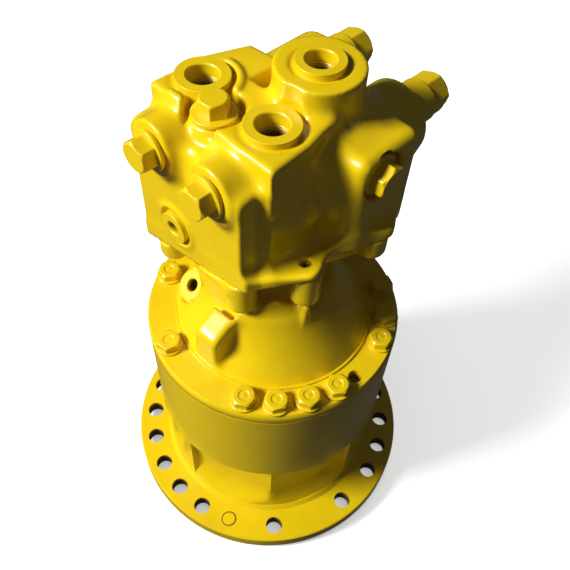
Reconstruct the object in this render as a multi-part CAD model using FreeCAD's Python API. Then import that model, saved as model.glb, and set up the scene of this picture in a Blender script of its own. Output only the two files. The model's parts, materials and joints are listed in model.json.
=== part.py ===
import FreeCAD, Part
import math
import os
from FreeCAD import Vector

# Swing motor: a bent-axis piston motor on a flanged brake case.
# Millimetres. +Z is the shaft axis, pointing up from the mounting face of the
# bottom flange, whose centre is the origin. +X runs along the two work ports.

# Clearances shared by every piece
running_gap = 0.05
seat_gap = 0.02
bolt_gap = 0.6
plate_gap = 0.1

# Bottom flange, pilot and foot
flange_radius = 150.0
flange_thickness = 17.0
pilot_radius = 110.0
pilot_height = 8.0
flange_hole_radius = 8.75
flange_hole_shift = 1.75
hole_pitch = 14.5
hole_set_starts = (14.5, 134.5, 254.5)
single_hole_angles = (58.5, 88.0, 119.5, 178.0, 210.5, 225.0, 239.5, 319.0, 354.0)
blank_plug_angle = 297.8
blank_plug_radius = 7.0
blank_plug_depth = 8.0
blank_plug_rise = 0.5
foot_radius = 113.0
foot_pad_height = 4.0
foot_fillet = 4.0
facet_ridge_radius = 109.0
facet_end_radius = 106.0
facet_ridge_angle = -43.0
facet_half_span = 46.0
facet_corner_fillet = 12.0
facet_overshoot = 30.0
facet_mouth_spread = 4.0
turned_edge = 1.0
blank_plug_edge = 0.8

# Brake drum of the lower case
drum_radius = 116.0
drum_bottom = 118.0
joint_height = 229.0
drum_edge_chamfer = 2.0
big_bore_radius = 91.0
small_bore_radius = 85.0
small_bore_top = 172.0
plate_floor = 122.0
oil_chamber_radius = 78.0
oil_chamber_floor = 64.0
plate_key_radius = 5.0
plate_key_count = 6
plate_key_start = 15.0
seal_side_room = 2.0
tap_end_room = 2.0

# Motor housing: ring, dome, hub and bent neck
ring_thickness = 13.0
ring_chamfer = 2.0
step_radius = 91.0
step_height = 2.0
step_edge = 0.7
dome_base_radius = 88.0
dome_top_radius = 50.0
dome_height = 52.0
hub_radius = 71.0
hub_bottom = 176.0
register_depth = 7.0
register_seal_lift = 2.0
race_shoulder = 4.0
bend_angle = 16.0
ball_height = 228.0
seat_distance = 103.0
neck_radius = 62.0
neck_bore_radius = 55.0
neck_bore_start = 12.0
flange_room_radius = 63.0
flange_room_top = 238.0
collar_height = 18.0
lobe_radius = 11.5
lobe_length = 38.0
lobe_places = ((13.0, -51.0), (47.0, -14.0), (58.0, 50.0), (-34.0, 76.0),
               (-78.0, 60.0), (-106.0, 20.0), (-104.0, -24.0), (-74.0, -50.0))
screw_lobes = (1, 3, 4, 5, 6)
dowel_lobes = (0, 2)
dowel_radius = 5.0
dowel_length = 16.0
rib_thickness = 6.0
brake_port_place = (-56.0, -50.5, 262.0)
brake_port_azimuth = -100.0
brake_port_elevation = 50.0
brake_port_boss_radius = 14.0
brake_port_radius = 5.75
brake_port_depth = 16.0
brake_port_root = 26.0
brake_port_room = 0.5
side_lug_radius = 10.5
side_lug_azimuth = -98.0
side_lug_height = 258.0
side_lug_reach = 84.0
side_lug_root = 50.0

# Ring bolts with washers
ring_bolt_circle = 103.75
ring_bolt_radius = 6.0
ring_bolt_length = 38.0
ring_bolt_flats = 19.0
ring_bolt_head = 7.5
ring_bolt_dimple_radius = 4.6
ring_bolt_dimple_depth = 0.8
ring_bolt_cone_spread = 3.5
ring_bolt_cone_inset = 0.8
ring_bolt_turn_rate = 1.7
ring_washer_radius = 12.0
ring_washer_thickness = 2.5
ring_bolt_angles = (23.0, 38.5, 57.5, 92.0, 107.0, 122.0, 152.0, 178.0,
                    208.5, 253.0, 302.0, 317.25, 332.5, 347.5)
spare_hole_angle = 359.0
spare_hole_radius = 6.0
spare_hole_depth = 22.0

# Drive shaft, its bearings and its seal
shaft_bottom = -5.0
shaft_end_edge = 1.5
tooth_root_share = 0.28
tooth_tip_share = 0.2
seal_land_radius = 30.0
shaft_body_radius = 34.0
shaft_step_height = 29.0
hub_spline_radius = 56.0
hub_spline_teeth = 18
hub_spline_depth = 3.5
hub_spline_bottom = 120.0
hub_spline_top = 153.0
upper_land_radius = 40.0
shaft_flange_radius = 51.0
shaft_flange_bottom = 212.0
drive_spline_radius = 20.0
drive_spline_depth = 42.0
drive_spline_teeth = 12
drive_spline_tooth = 3.0
race_thickness = 6.0
outer_race_thickness = 8.0
lower_roller_radius = 4.0
lower_bearing_bottom = 31.0
bearing_width = 28.0
upper_roller_radius = 4.5
upper_bearing_bottom = 180.0
roller_count = 14
roller_end_gap = 2.0
seal_bottom = 11.0
seal_height = 12.0
seal_outer_radius = 42.0
seal_ring_thickness = 2.4
seal_ring_depth = 2.5
seal_ring_play = 0.3
seal_ring_inset = 5.0
seal_ring_mouth = 16.0
seal_ring_mouth_reach = 15.0

# Brake pack
disc_thickness = 3.0
plate_side_gap = 0.4
friction_disc_count = 4
friction_outer_radius = 82.0
steel_inner_radius = 62.0
brake_piston_inner = 73.0
brake_piston_room = 10.0
brake_travel = 2.5
brake_spring_count = 12
brake_spring_circle = 82.0
brake_spring_radius = 5.5
brake_spring_wall = 2.0
brake_spring_play = 0.5
brake_spring_pocket = 24.0
packing_width = 3.0
packing_height = 4.0

# Rotating group about the bent axis
piston_count = 7
ball_circle = 36.0
ball_radius = 9.5
piston_radius = 11.5
piston_neck_radius = 5.0
piston_skirt_start = 15.0
piston_length = 50.0
barrel_radius = 52.0
barrel_start = 25.0
barrel_edge = 3.0
piston_bore_depth = 62.0
barrel_port_radius = 5.5
pin_radius = 7.0
pin_ball_radius = 9.0
pin_room_radius = 10.5
pin_spring_start = 38.0
pin_spring_length = 30.0
pin_spring_wall = 2.4
pin_spring_play = 0.3
pin_collar_height = 5.0
keeper_thickness = 4.0
keeper_opening_inset = 0.9
valve_plate_radius = 50.0
valve_plate_thickness = 6.0
kidney_half_angle = 58.0
kidney_half_width = 5.5
kidney_depth = 14.0
kidney_middles = (90.0, 270.0)

# Valve block body
ledge_thickness = 11.0
ledge_overhang = 3.0
front_face = -62.0
front_top_edge = -38.0
block_left = -96.0
block_corner_x = 23.0
block_right = 31.0
block_back = 62.0
shoulder_height = 436.0
front_shoulder_height = 430.0
front_slope_rise = 24.0
front_slope_cut = 60.0
pocket_depth = 22.0
deck_height = 456.0
deck_back = 18.0
deck_left_back = 48.0
deck_left_right = -50.0
deck_root = 10.0
deck_corner_inset = 5.0
deck_corner_set = 10.0
deck_left_inset = 14.0
deck_left_drop = 4.0
deck_left_set = 12.0
edge_fillet = 6.0
port_face_rise = 4.0
port_face_radius = 21.0
port_face_root = 2.0
port_groove_width = 4.0
port_groove_depth = 3.0
work_port_radius = 12.1
work_port_depth = 24.0
work_port_spacing = 72.4
work_port_middle = -37.1
work_port_line = -9.0
tank_place = (-11.0, 46.5)
tank_boss_radius = 34.0
tank_boss_height = 476.0
tank_face_radius = 19.0
tank_port_radius = 11.2
tank_boss_root = 20.0
tank_passage_depth = 40.0
passage_radius = 8.0
cross_passage_height = 400.0

# Plugs: two check plugs, a top plug and a side plug
check_boss_radius = 22.0
check_boss_rise = 2.0
check_boss_root = 40.0
check_spacing = 62.0
check_middle = -36.0
check_height = 427.0
check_bore_radius = 10.0
check_bore_depth = 46.0
plug_collar_radius = 17.0
plug_collar_thickness = 3.0
plug_collar_edge = 0.8
plug_head_root = 0.5
plug_ring_inset = 1.5
plug_ring_play = 0.2
plug_flats = 24.0
plug_head = 12.5
plug_stem = 14.0
plug_seal_thickness = 1.4
top_plug_place = (-44.0, -24.0)
top_plug_height = 448.0
top_boss_radius = 18.0
top_boss_root = 60.0
top_plug_tip_room = 6.0
top_plug_stem_radius = 9.0
side_plug_y = 47.0
side_plug_z = 417.0
side_pad_face = 60.0
side_pad_front = 22.0
side_pad_back = 86.0
side_pad_top = 440.0
side_pad_corner = 18.0
side_plug_sink = 8.0
side_plug_room_radius = 20.0
gauge_port_x = -51.0
gauge_port_z = 355.0
gauge_boss_radius = 17.0
gauge_boss_rise = 4.0
gauge_boss_root = 20.0
gauge_port_radius = 5.9
gauge_port_depth = 16.0

# Check poppets and relief cartridges
poppet_radius = 7.0
check_poppet_length = 12.0
check_nose_length = 3.0
check_travel = 4.0
poppet_spring_wall = 1.6
poppet_spring_inset = 1.0
relief_spacing = 85.0
relief_middle = -34.5
relief_height = 400.0
relief_boss_radius = 32.0
relief_boss_end = 126.0
relief_web_low = 357.0
relief_web_overhang = 28.0
relief_web_setback = 2.0
relief_bore_radius = 14.0
relief_bore_start = 52.0
relief_body_radius = 20.0
relief_body_length = 30.0
relief_body_edge = 2.0
relief_flats = 32.0
relief_hex_length = 20.0
relief_end_inset = 2.0
relief_end_length = 3.0
relief_sleeve_radius = 8.0
relief_seat_width = 2.0
relief_poppet_length = 28.0
relief_nose_length = 4.0
relief_spring_play = 0.6
relief_spring_wall = 2.6
relief_spring_room = 1.0
relief_travel = 3.0
shuttle_bore_radius = 8.0
shuttle_bore_end = 20.0
shuttle_poppet_radius = 5.5
shuttle_poppet_length = 8.0
shuttle_spring_play = 0.5
shuttle_spring_wall = 1.5
shuttle_travel = 2.5

# Block screws
block_screw_radius = 5.0
block_screw_length = 30.0
block_screw_head_radius = 8.0
block_screw_head = 6.0
block_screw_head_play = 0.4
block_screw_pocket = 20.0
block_screw_key_flats = 8.0
block_screw_key_depth = 4.0

# Sealing rings
ring_seal_width = 2.5
ring_seal_height = 3.0
block_seal_radius = 58.5

# Worked-out sizes
flange_hole_circle = (foot_radius + flange_radius) / 2 + flange_hole_shift
ring_top = joint_height + ring_thickness
brake_piston_top = joint_height - register_depth - brake_piston_room
bend = math.radians(bend_angle)
ball_centre = Vector(0, 0, ball_height)
bore_circle = ball_circle * (1 + math.cos(bend)) / 2
piston_play = ball_circle * (1 - math.cos(bend)) / 2
piston_bore_radius = piston_radius + piston_play + running_gap * 2
barrel_end = seat_distance - valve_plate_thickness - seat_gap
up = Vector(0, 0, 1)
far = 600.0
side_plug_seat = side_pad_face - side_plug_sink


def cylinder(radius, low, high, x=0.0, y=0.0):
    """An upright cylinder between two heights."""
    return Part.makeCylinder(radius, high - low, Vector(x, y, low))


def rod(radius, start, direction, length):
    """A cylinder from a point along a direction."""
    return Part.makeCylinder(radius, length, start, direction)


def tube(outer, inner, low, high, x=0.0, y=0.0):
    """An upright tube between two heights."""
    return cylinder(outer, low, high, x, y).cut(cylinder(inner, low - 1, high + 1, x, y))


def prism(points, low, high):
    """An upright prism over a closed outline in plan."""
    corners = [Vector(x, y, low) for x, y in points]
    outline = Part.makePolygon(corners + corners[:1])
    return Part.Face(outline).extrude(up * (high - low))


def lathe(profile):
    """A solid turned about the shaft axis from (radius, height) corners."""
    corners = [Vector(r, 0, z) for r, z in profile]
    outline = Part.makePolygon(corners + corners[:1])
    return Part.Face(outline).revolve(Vector(0, 0, 0), up, 360)


def hexagon(across_flats, start, direction, length):
    """A hexagonal bar from a point along a direction."""
    radius = across_flats / math.sqrt(3)
    corners = [Vector(radius * math.cos(math.radians(60 * i)), radius * math.sin(math.radians(60 * i)), 0)
               for i in range(6)]
    bar = Part.Face(Part.makePolygon(corners + corners[:1])).extrude(up * length)
    bar.Placement = FreeCAD.Placement(start, FreeCAD.Rotation(up, direction))
    return bar


def polar(radius, angle, z=0.0):
    """A point at a radius and an angle in degrees about the shaft axis."""
    turn = math.radians(angle)
    return Vector(radius * math.cos(turn), radius * math.sin(turn), z)


def bent(shape):
    """Tilts a shape from the shaft axis onto the bent axis, about the ball centre."""
    tilted = shape.copy()
    tilted.rotate(ball_centre, Vector(0, 1, 0), -bend_angle)
    return tilted


def bent_height(x, distance):
    """Height of the plane square to the bent axis, at a place x along the ports."""
    return ball_height + distance / math.cos(bend) + x * math.tan(bend)


def bent_slab(start, end):
    """A wide slab square to the bent axis, between two distances from the ball centre."""
    slab = Part.makeBox(2 * far, 2 * far, end - start, Vector(-far, -far, ball_height + start))
    return bent(slab)


def group(solids):
    """Separate pieces that share one node."""
    return Part.makeCompound(solids)


def even_angles(count, start=0.0):
    """Evenly spaced angles round the full circle."""
    return [start + 360.0 * i / count for i in range(count)]


def soft_edges(solid, radius, test):
    """Rounds the edges whose middle passes a test."""
    chosen = [edge for edge in solid.Edges if test(edge.CenterOfMass, edge)]
    return solid.makeFillet(radius, chosen)


def is_upright(edge):
    """True for a straight edge that runs along the shaft axis."""
    return len(edge.Vertexes) == 2 and abs(edge.tangentAt(edge.FirstParameter).z) > 0.999


bent_axis = Vector(-math.sin(bend), 0, math.cos(bend))


# Lower case: flange, foot and brake drum in one casting

def flange_hole_angles():
    """Every through hole of the bottom flange."""
    sets = [start + step * hole_pitch for start in hole_set_starts for step in range(3)]
    return sets + list(single_hole_angles)


def foot_recess():
    """The two flat facets that give room for the flange bolts."""
    reach = flange_radius + facet_overshoot
    spread = facet_half_span + facet_mouth_spread
    ends = (facet_ridge_angle - facet_half_span, facet_ridge_angle + facet_half_span)
    corners = [polar(facet_end_radius, ends[0]), polar(facet_ridge_radius, facet_ridge_angle),
               polar(facet_end_radius, ends[1]), polar(reach, facet_ridge_angle + spread),
               polar(reach / math.cos(math.radians(spread)), facet_ridge_angle),
               polar(reach, facet_ridge_angle - spread)]
    block = prism([(p.x, p.y) for p in corners], flange_thickness + foot_pad_height, drum_bottom)
    sharp = [edge for edge in block.Edges if is_upright(edge)
             and abs(math.hypot(edge.CenterOfMass.x, edge.CenterOfMass.y) - facet_end_radius) < 0.01]
    return block.makeFillet(facet_corner_fillet, sharp)


def plate_key_places(radius):
    """Places of the round keys that stop the steel plates from turning."""
    return [polar(radius, angle) for angle in even_angles(plate_key_count, plate_key_start)]


def lower_case():
    outside = lathe([(0, -pilot_height), (pilot_radius - turned_edge, -pilot_height),
                     (pilot_radius, turned_edge - pilot_height),
                     (pilot_radius, 0), (flange_radius - turned_edge, 0), (flange_radius, turned_edge),
                     (flange_radius, flange_thickness - turned_edge),
                     (flange_radius - turned_edge, flange_thickness),
                     (foot_radius + foot_fillet, flange_thickness),
                     (foot_radius, flange_thickness + foot_fillet),
                     (foot_radius, drum_bottom - drum_edge_chamfer),
                     (drum_radius - drum_edge_chamfer, drum_bottom - drum_edge_chamfer),
                     (drum_radius, drum_bottom), (drum_radius, joint_height), (0, joint_height)])
    recess = foot_recess()
    bearing_seat = shaft_body_radius + race_thickness + 2 * lower_roller_radius + outer_race_thickness
    inside = lathe([(0, -pilot_height - 1), (seal_outer_radius, -pilot_height - 1),
                    (seal_outer_radius, seal_bottom + seal_height),
                    (shaft_body_radius + seal_side_room, seal_bottom + seal_height),
                    (shaft_body_radius + seal_side_room, lower_bearing_bottom),
                    (bearing_seat, lower_bearing_bottom),
                    (bearing_seat, oil_chamber_floor), (oil_chamber_radius, oil_chamber_floor),
                    (oil_chamber_radius, plate_floor), (small_bore_radius, plate_floor),
                    (small_bore_radius, small_bore_top), (big_bore_radius, small_bore_top),
                    (big_bore_radius, joint_height + 1), (0, joint_height + 1)])
    groove_top = seal_bottom - seat_gap
    groove = tube(seal_outer_radius + seal_ring_depth, seal_outer_radius - 1, groove_top - seal_ring_thickness,
                  groove_top)
    keys = [cylinder(plate_key_radius, plate_floor, small_bore_top, p.x, p.y)
            for p in plate_key_places(small_bore_radius)]
    holes = [cylinder(flange_hole_radius, -1, flange_thickness + 1, p.x, p.y)
             for p in (polar(flange_hole_circle, angle) for angle in flange_hole_angles())]
    plug = polar(flange_hole_circle, blank_plug_angle)
    plug_hole = cylinder(blank_plug_radius, flange_thickness - blank_plug_depth, flange_thickness + 1,
                         plug.x, plug.y)
    bolt_low = ring_top + ring_washer_thickness - ring_bolt_length - tap_end_room
    taps = [cylinder(ring_bolt_radius + seat_gap, bolt_low, joint_height + 1, p.x, p.y)
            for p in (polar(ring_bolt_circle, angle) for angle in ring_bolt_angles)]
    spare = polar(ring_bolt_circle, spare_hole_angle)
    taps.append(cylinder(spare_hole_radius, ring_top - spare_hole_depth, joint_height + 1, spare.x, spare.y))
    return outside.cut([recess, inside, groove, plug_hole] + keys + holes + taps)


def blank_plug():
    place = polar(flange_hole_circle, blank_plug_angle)
    body = cylinder(blank_plug_radius - seat_gap, flange_thickness - blank_plug_depth,
                    flange_thickness + blank_plug_rise, place.x, place.y)
    rim = [edge for edge in body.Edges if edge.CenterOfMass.z > flange_thickness]
    return body.makeChamfer(blank_plug_edge, rim)


# Motor housing: ring, dome and bent neck in one casting

def lobe(index, extra=0.0, length=lobe_length):
    """One screw lobe below the seat of the valve block."""
    x, y = lobe_places[index]
    seat = bent_height(x, seat_distance)
    return cylinder(lobe_radius + extra, seat - length, seat + lobe_radius, x, y)


def brake_port_direction():
    lift = math.radians(brake_port_elevation)
    flat = polar(math.cos(lift), brake_port_azimuth)
    return Vector(flat.x, flat.y, math.sin(lift))


def upper_race_radius():
    return upper_land_radius + race_thickness + 2 * upper_roller_radius + outer_race_thickness


def motor_housing():
    ring = lathe([(0, joint_height), (drum_radius - turned_edge, joint_height),
                  (drum_radius, joint_height + turned_edge),
                  (drum_radius, ring_top - ring_chamfer), (drum_radius - ring_chamfer, ring_top),
                  (step_radius, ring_top), (step_radius - step_edge, ring_top + step_height),
                  (dome_base_radius, ring_top + step_height),
                  (dome_top_radius, ring_top + step_height + dome_height),
                  (0, ring_top + step_height + dome_height)])
    register = cylinder(big_bore_radius - seat_gap, joint_height - register_depth, joint_height + 1)
    hub = cylinder(hub_radius, hub_bottom, joint_height + 1)
    neck = bent(cylinder(neck_radius, ball_height, ball_height + seat_distance))
    seat_cut = bent_slab(seat_distance, seat_distance + far)
    collar = prism(lobe_places, joint_height, deck_height).common(
        bent_slab(seat_distance - collar_height, seat_distance))
    lobes = [lobe(index).cut(seat_cut) for index in range(len(lobe_places))]
    rib_low = ring_top + step_height
    rib_x, rib_y = lobe_places[1]
    rib_top = bent_height(rib_x, seat_distance) - lobe_length + 1
    rib = Part.makeBox(rib_x + lobe_radius, rib_thickness, rib_top - rib_low,
                       Vector(0, -rib_thickness / 2, rib_low))
    rib.rotate(Vector(0, 0, 0), up, math.degrees(math.atan2(rib_y, rib_x)))
    port_face = Vector(*brake_port_place)
    port_way = brake_port_direction()
    port_boss = rod(brake_port_boss_radius, port_face - port_way * brake_port_root, port_way, brake_port_root)
    port_room = rod(brake_port_boss_radius + brake_port_room, port_face, port_way, brake_port_root)
    lug_way = polar(1, side_lug_azimuth)
    lug = rod(side_lug_radius, Vector(0, 0, side_lug_height) + lug_way * side_lug_root, lug_way,
              side_lug_reach - side_lug_root)
    solid = ring.fuse([register, hub, neck, collar, port_boss, lug, rib] + lobes)
    race_seat = upper_race_radius()
    inside = lathe([(0, hub_bottom - 1), (race_seat - race_shoulder, hub_bottom - 1),
                    (race_seat - race_shoulder, upper_bearing_bottom),
                    (race_seat, upper_bearing_bottom), (race_seat, upper_bearing_bottom + bearing_width),
                    (flange_room_radius, upper_bearing_bottom + bearing_width),
                    (flange_room_radius, flange_room_top),
                    (0, flange_room_top)])
    neck_bore = bent(cylinder(neck_bore_radius, ball_height - neck_bore_start, ball_height + seat_distance + 1))
    under_seat = bent_slab(seat_distance, seat_distance + far)
    bolt_holes = [cylinder(ring_bolt_radius + bolt_gap, joint_height - 1, ring_top + 1, p.x, p.y)
                  for p in (polar(ring_bolt_circle, angle) for angle in ring_bolt_angles)]
    spare = polar(ring_bolt_circle, spare_hole_angle)
    bolt_holes.append(cylinder(spare_hole_radius, joint_height - 1, ring_top + 1, spare.x, spare.y))
    taps = [block_screw_hole(index, block_screw_radius + seat_gap) for index in screw_lobes]
    dowel_holes = [dowel(index, dowel_radius + seat_gap, dowel_length + 1) for index in dowel_lobes]
    port_hole = rod(brake_port_radius, port_face - port_way * brake_port_depth, port_way, brake_port_depth + 5)
    seal_groove = bent(tube(block_seal_radius + ring_seal_width / 2, block_seal_radius - ring_seal_width / 2,
                            ball_height + seat_distance - ring_seal_height, ball_height + seat_distance + 1))
    register_groove = tube(big_bore_radius + 1, big_bore_radius - ring_seal_width,
                           register_seal_low(), register_seal_low() + ring_seal_height)
    return solid.cut([inside, neck_bore, under_seat, port_room, port_hole, seal_groove, register_groove]
                     + bolt_holes + taps + dowel_holes)


def seat_point(index):
    """The point of the block seat above the middle of a lobe."""
    x, y = lobe_places[index]
    return Vector(x, y, bent_height(x, seat_distance))


def block_screw_hole(index, radius):
    """A hole square to the seat, from the ledge down into a lobe."""
    start = seat_point(index) - bent_axis * (block_screw_length - ledge_thickness)
    return rod(radius, start, bent_axis, block_screw_length + 1)


def dowel(index, radius, length):
    return rod(radius, seat_point(index) - bent_axis * length / 2, bent_axis, length)


def dowel_pins():
    return group([dowel(index, dowel_radius, dowel_length) for index in dowel_lobes])


def ring_bolts():
    under_head = ring_top + ring_washer_thickness
    shank_low = under_head - ring_bolt_length
    bolts = []
    for angle in ring_bolt_angles:
        place = polar(ring_bolt_circle, angle)
        shank = cylinder(ring_bolt_radius, shank_low, under_head + 1, place.x, place.y)
        head = hexagon(ring_bolt_flats, Vector(place.x, place.y, under_head), up, ring_bolt_head)
        round_off = Part.makeCone(ring_bolt_flats / 2 + ring_bolt_cone_spread,
                                  ring_bolt_flats / 2 - ring_bolt_cone_inset, ring_bolt_head,
                                  Vector(place.x, place.y, under_head))
        dimple = cylinder(ring_bolt_dimple_radius, under_head + ring_bolt_head - ring_bolt_dimple_depth,
                          under_head + ring_bolt_head + 1, place.x, place.y)
        bolt = shank.fuse(head.common(round_off)).cut(dimple)
        bolt.rotate(place, up, angle * ring_bolt_turn_rate)
        bolts.append(bolt)
    return group(bolts)


def ring_washers():
    places = [polar(ring_bolt_circle, angle) for angle in ring_bolt_angles]
    return group([tube(ring_washer_radius, ring_bolt_radius + bolt_gap / 2, ring_top,
                       ring_top + ring_washer_thickness - seat_gap, p.x, p.y) for p in places])


def block_screws():
    screws = []
    for index in screw_lobes:
        head_base = seat_point(index) + bent_axis * (ledge_thickness - block_screw_head)
        length = block_screw_length - block_screw_head
        shank = rod(block_screw_radius, head_base - bent_axis * length, bent_axis, length + 1)
        head = rod(block_screw_head_radius, head_base, bent_axis, block_screw_head)
        key = hexagon(block_screw_key_flats, head_base + bent_axis * (block_screw_head - block_screw_key_depth),
                      bent_axis, block_screw_key_depth + 1)
        screws.append(shank.fuse(head).cut(key))
    return group(screws)


def register_seal_low():
    return joint_height - register_depth + register_seal_lift


def register_seal():
    low = register_seal_low()
    return tube(big_bore_radius - seat_gap, big_bore_radius - ring_seal_width + seat_gap, low + seat_gap,
                low + ring_seal_height - seat_gap)


def block_seal():
    top = ball_height + seat_distance
    half = ring_seal_width / 2 - seat_gap
    return bent(tube(block_seal_radius + half, block_seal_radius - half, top - ring_seal_height, top - seat_gap))


# Drive shaft and what carries it

def star(outer, inner, teeth, low, high):
    """A toothed bar: straight-sided teeth between two radii."""
    corners = []
    sides = ((inner, -tooth_root_share), (outer, -tooth_tip_share), (outer, tooth_tip_share),
             (inner, tooth_root_share))
    for angle in even_angles(teeth):
        step = 360.0 / teeth
        for radius, share in sides:
            place = polar(radius, angle + share * step)
            corners.append((place.x, place.y))
    return prism(corners, low, high)


def ball_places():
    return [polar(ball_circle, angle, ball_height) for angle in even_angles(piston_count)]


def drive_shaft():
    turned = lathe([(0, shaft_bottom), (seal_land_radius - shaft_end_edge, shaft_bottom),
                    (seal_land_radius, shaft_bottom + shaft_end_edge), (seal_land_radius, shaft_step_height),
                    (shaft_body_radius, shaft_step_height), (shaft_body_radius, hub_spline_bottom),
                    (hub_spline_radius - hub_spline_depth, hub_spline_bottom),
                    (hub_spline_radius - hub_spline_depth, hub_spline_top), (upper_land_radius, hub_spline_top),
                    (upper_land_radius, shaft_flange_bottom),
                    (shaft_flange_radius - turned_edge, shaft_flange_bottom),
                    (shaft_flange_radius, shaft_flange_bottom + turned_edge), (shaft_flange_radius, ball_height),
                    (0, ball_height)])
    teeth = star(hub_spline_radius, hub_spline_radius - hub_spline_depth, hub_spline_teeth, hub_spline_bottom,
                 hub_spline_top)
    socket_spline = star(drive_spline_radius, drive_spline_radius - drive_spline_tooth, drive_spline_teeth,
                         shaft_bottom - 1, shaft_bottom + drive_spline_depth)
    sockets = [Part.makeSphere(ball_radius + running_gap, place) for place in ball_places()]
    centre_socket = Part.makeSphere(pin_ball_radius + running_gap, ball_centre)
    return turned.fuse(teeth).cut([socket_spline, centre_socket] + sockets)


def ball_keeper():
    low = ball_height + seat_gap
    plate = cylinder(shaft_flange_radius - turned_edge, low, low + keeper_thickness)
    cuts = [Part.makeSphere(ball_radius + running_gap, place) for place in ball_places()]
    cuts += [cylinder(ball_radius - keeper_opening_inset, low - 1, low + keeper_thickness + 1, p.x, p.y)
             for p in ball_places()]
    cuts.append(cylinder(pin_ball_radius + 1, low - 1, low + keeper_thickness + 1))
    return plate.cut(cuts)


def bearing(land_radius, roller_radius, bottom):
    """Inner race, rollers and outer race of one cylindrical roller bearing."""
    inner = tube(land_radius + race_thickness, land_radius + seat_gap, bottom, bottom + bearing_width)
    orbit = land_radius + race_thickness + roller_radius
    small = roller_radius - running_gap
    rollers = [cylinder(small, bottom + roller_end_gap, bottom + bearing_width - roller_end_gap, p.x, p.y)
               for p in (polar(orbit, angle) for angle in even_angles(roller_count))]
    outer_inside = land_radius + race_thickness + 2 * roller_radius
    outer = tube(outer_inside + outer_race_thickness - seat_gap, outer_inside, bottom, bottom + bearing_width)
    return inner, group(rollers), outer


def shaft_seal():
    return tube(seal_outer_radius - seat_gap, seal_land_radius + running_gap, seal_bottom,
                seal_bottom + seal_height)


def seal_retainer():
    top = seal_bottom - seat_gap
    ring = tube(seal_outer_radius + seal_ring_depth - seal_ring_play, seal_outer_radius - seal_ring_inset,
                top - seal_ring_thickness + 2 * running_gap, top - running_gap)
    mouth = Part.makeBox(2 * seal_ring_mouth_reach, seal_ring_mouth, 3 * seal_ring_thickness,
                         Vector(seal_outer_radius - seal_ring_mouth_reach, -seal_ring_mouth / 2,
                                top - 2 * seal_ring_thickness))
    return ring.cut(mouth)


def bearing_spacer():
    low = lower_bearing_bottom + bearing_width
    return tube(shaft_body_radius + race_thickness, shaft_body_radius + seat_gap, low + seat_gap,
                hub_spline_bottom - seat_gap)


# Brake: discs, plates, piston and springs

def disc_pitch():
    return 2 * (disc_thickness + plate_gap)


def friction_discs():
    discs = []
    for row in range(friction_disc_count):
        low = plate_floor + disc_thickness + plate_gap + row * disc_pitch()
        disc = cylinder(friction_outer_radius, low, low + disc_thickness)
        hole = star(hub_spline_radius + plate_side_gap, hub_spline_radius - hub_spline_depth + plate_side_gap,
                    hub_spline_teeth, low - 1, low + disc_thickness + 1)
        discs.append(disc.cut(hole))
    return group(discs)


def steel_plates():
    plates = []
    for row in range(friction_disc_count + 1):
        low = plate_floor + row * disc_pitch()
        ears = [cylinder(plate_key_radius - plate_side_gap, low, low + disc_thickness, p.x, p.y)
                for p in plate_key_places(small_bore_radius)]
        plate = cylinder(small_bore_radius - plate_side_gap, low, low + disc_thickness).fuse(ears)
        plates.append(plate.cut(cylinder(steel_inner_radius, low - 1, low + disc_thickness + 1)))
    return group(plates)


def pack_top():
    return plate_floor + friction_disc_count * disc_pitch() + disc_thickness


def brake_spring_places():
    return [polar(brake_spring_circle, angle) for angle in even_angles(brake_spring_count)]


def brake_piston():
    low = pack_top() + plate_gap
    step = small_bore_top + brake_travel
    body = lathe([(brake_piston_inner, low), (small_bore_radius - running_gap, low),
                  (small_bore_radius - running_gap, step), (big_bore_radius - running_gap, step),
                  (big_bore_radius - running_gap, brake_piston_top), (brake_piston_inner, brake_piston_top)])
    pockets = [cylinder(brake_spring_radius + brake_spring_play, brake_piston_top - brake_spring_pocket,
                        brake_piston_top + 1, p.x, p.y) for p in brake_spring_places()]
    grooves = [tube(small_bore_radius + 1, small_bore_radius - packing_width - running_gap,
                    small_packing_low(), small_packing_low() + packing_height),
               tube(big_bore_radius + 1, big_bore_radius - packing_width - running_gap,
                    big_packing_low(), big_packing_low() + packing_height)]
    return body.cut(pockets + grooves)


def small_packing_low():
    return small_bore_top - packing_height * 2


def big_packing_low():
    return small_bore_top + brake_travel + packing_height


def brake_packings():
    rings = []
    for radius, low in ((small_bore_radius, small_packing_low()), (big_bore_radius, big_packing_low())):
        rings.append(tube(radius - running_gap, radius - packing_width, low + seat_gap,
                          low + packing_height - seat_gap))
    return group(rings)


def brake_springs():
    low = brake_piston_top - brake_spring_pocket + seat_gap
    high = joint_height - register_depth - seat_gap
    return group([tube(brake_spring_radius, brake_spring_radius - brake_spring_wall, low, high, p.x, p.y)
                  for p in brake_spring_places()])


# Rotating group on the bent axis

def cylinder_block():
    body = lathe([(0, ball_height + barrel_start), (barrel_radius - barrel_edge, ball_height + barrel_start),
                  (barrel_radius, ball_height + barrel_start + barrel_edge),
                  (barrel_radius, ball_height + barrel_end),
                  (0, ball_height + barrel_end)])
    places = [polar(bore_circle, angle) for angle in even_angles(piston_count)]
    bore_top = ball_height + barrel_start + piston_bore_depth
    bores = [cylinder(piston_bore_radius, ball_height, bore_top, p.x, p.y) for p in places]
    ports = [cylinder(barrel_port_radius, bore_top - 1, ball_height + barrel_end + 1, p.x, p.y) for p in places]
    spring_room_top = ball_height + pin_spring_start + pin_spring_length
    pin_room = cylinder(pin_room_radius, ball_height, spring_room_top)
    pin_hole = cylinder(pin_radius + seat_gap, ball_height, ball_height + barrel_end + 1)
    return bent(body.cut(bores + ports + [pin_room, pin_hole]))


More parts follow.
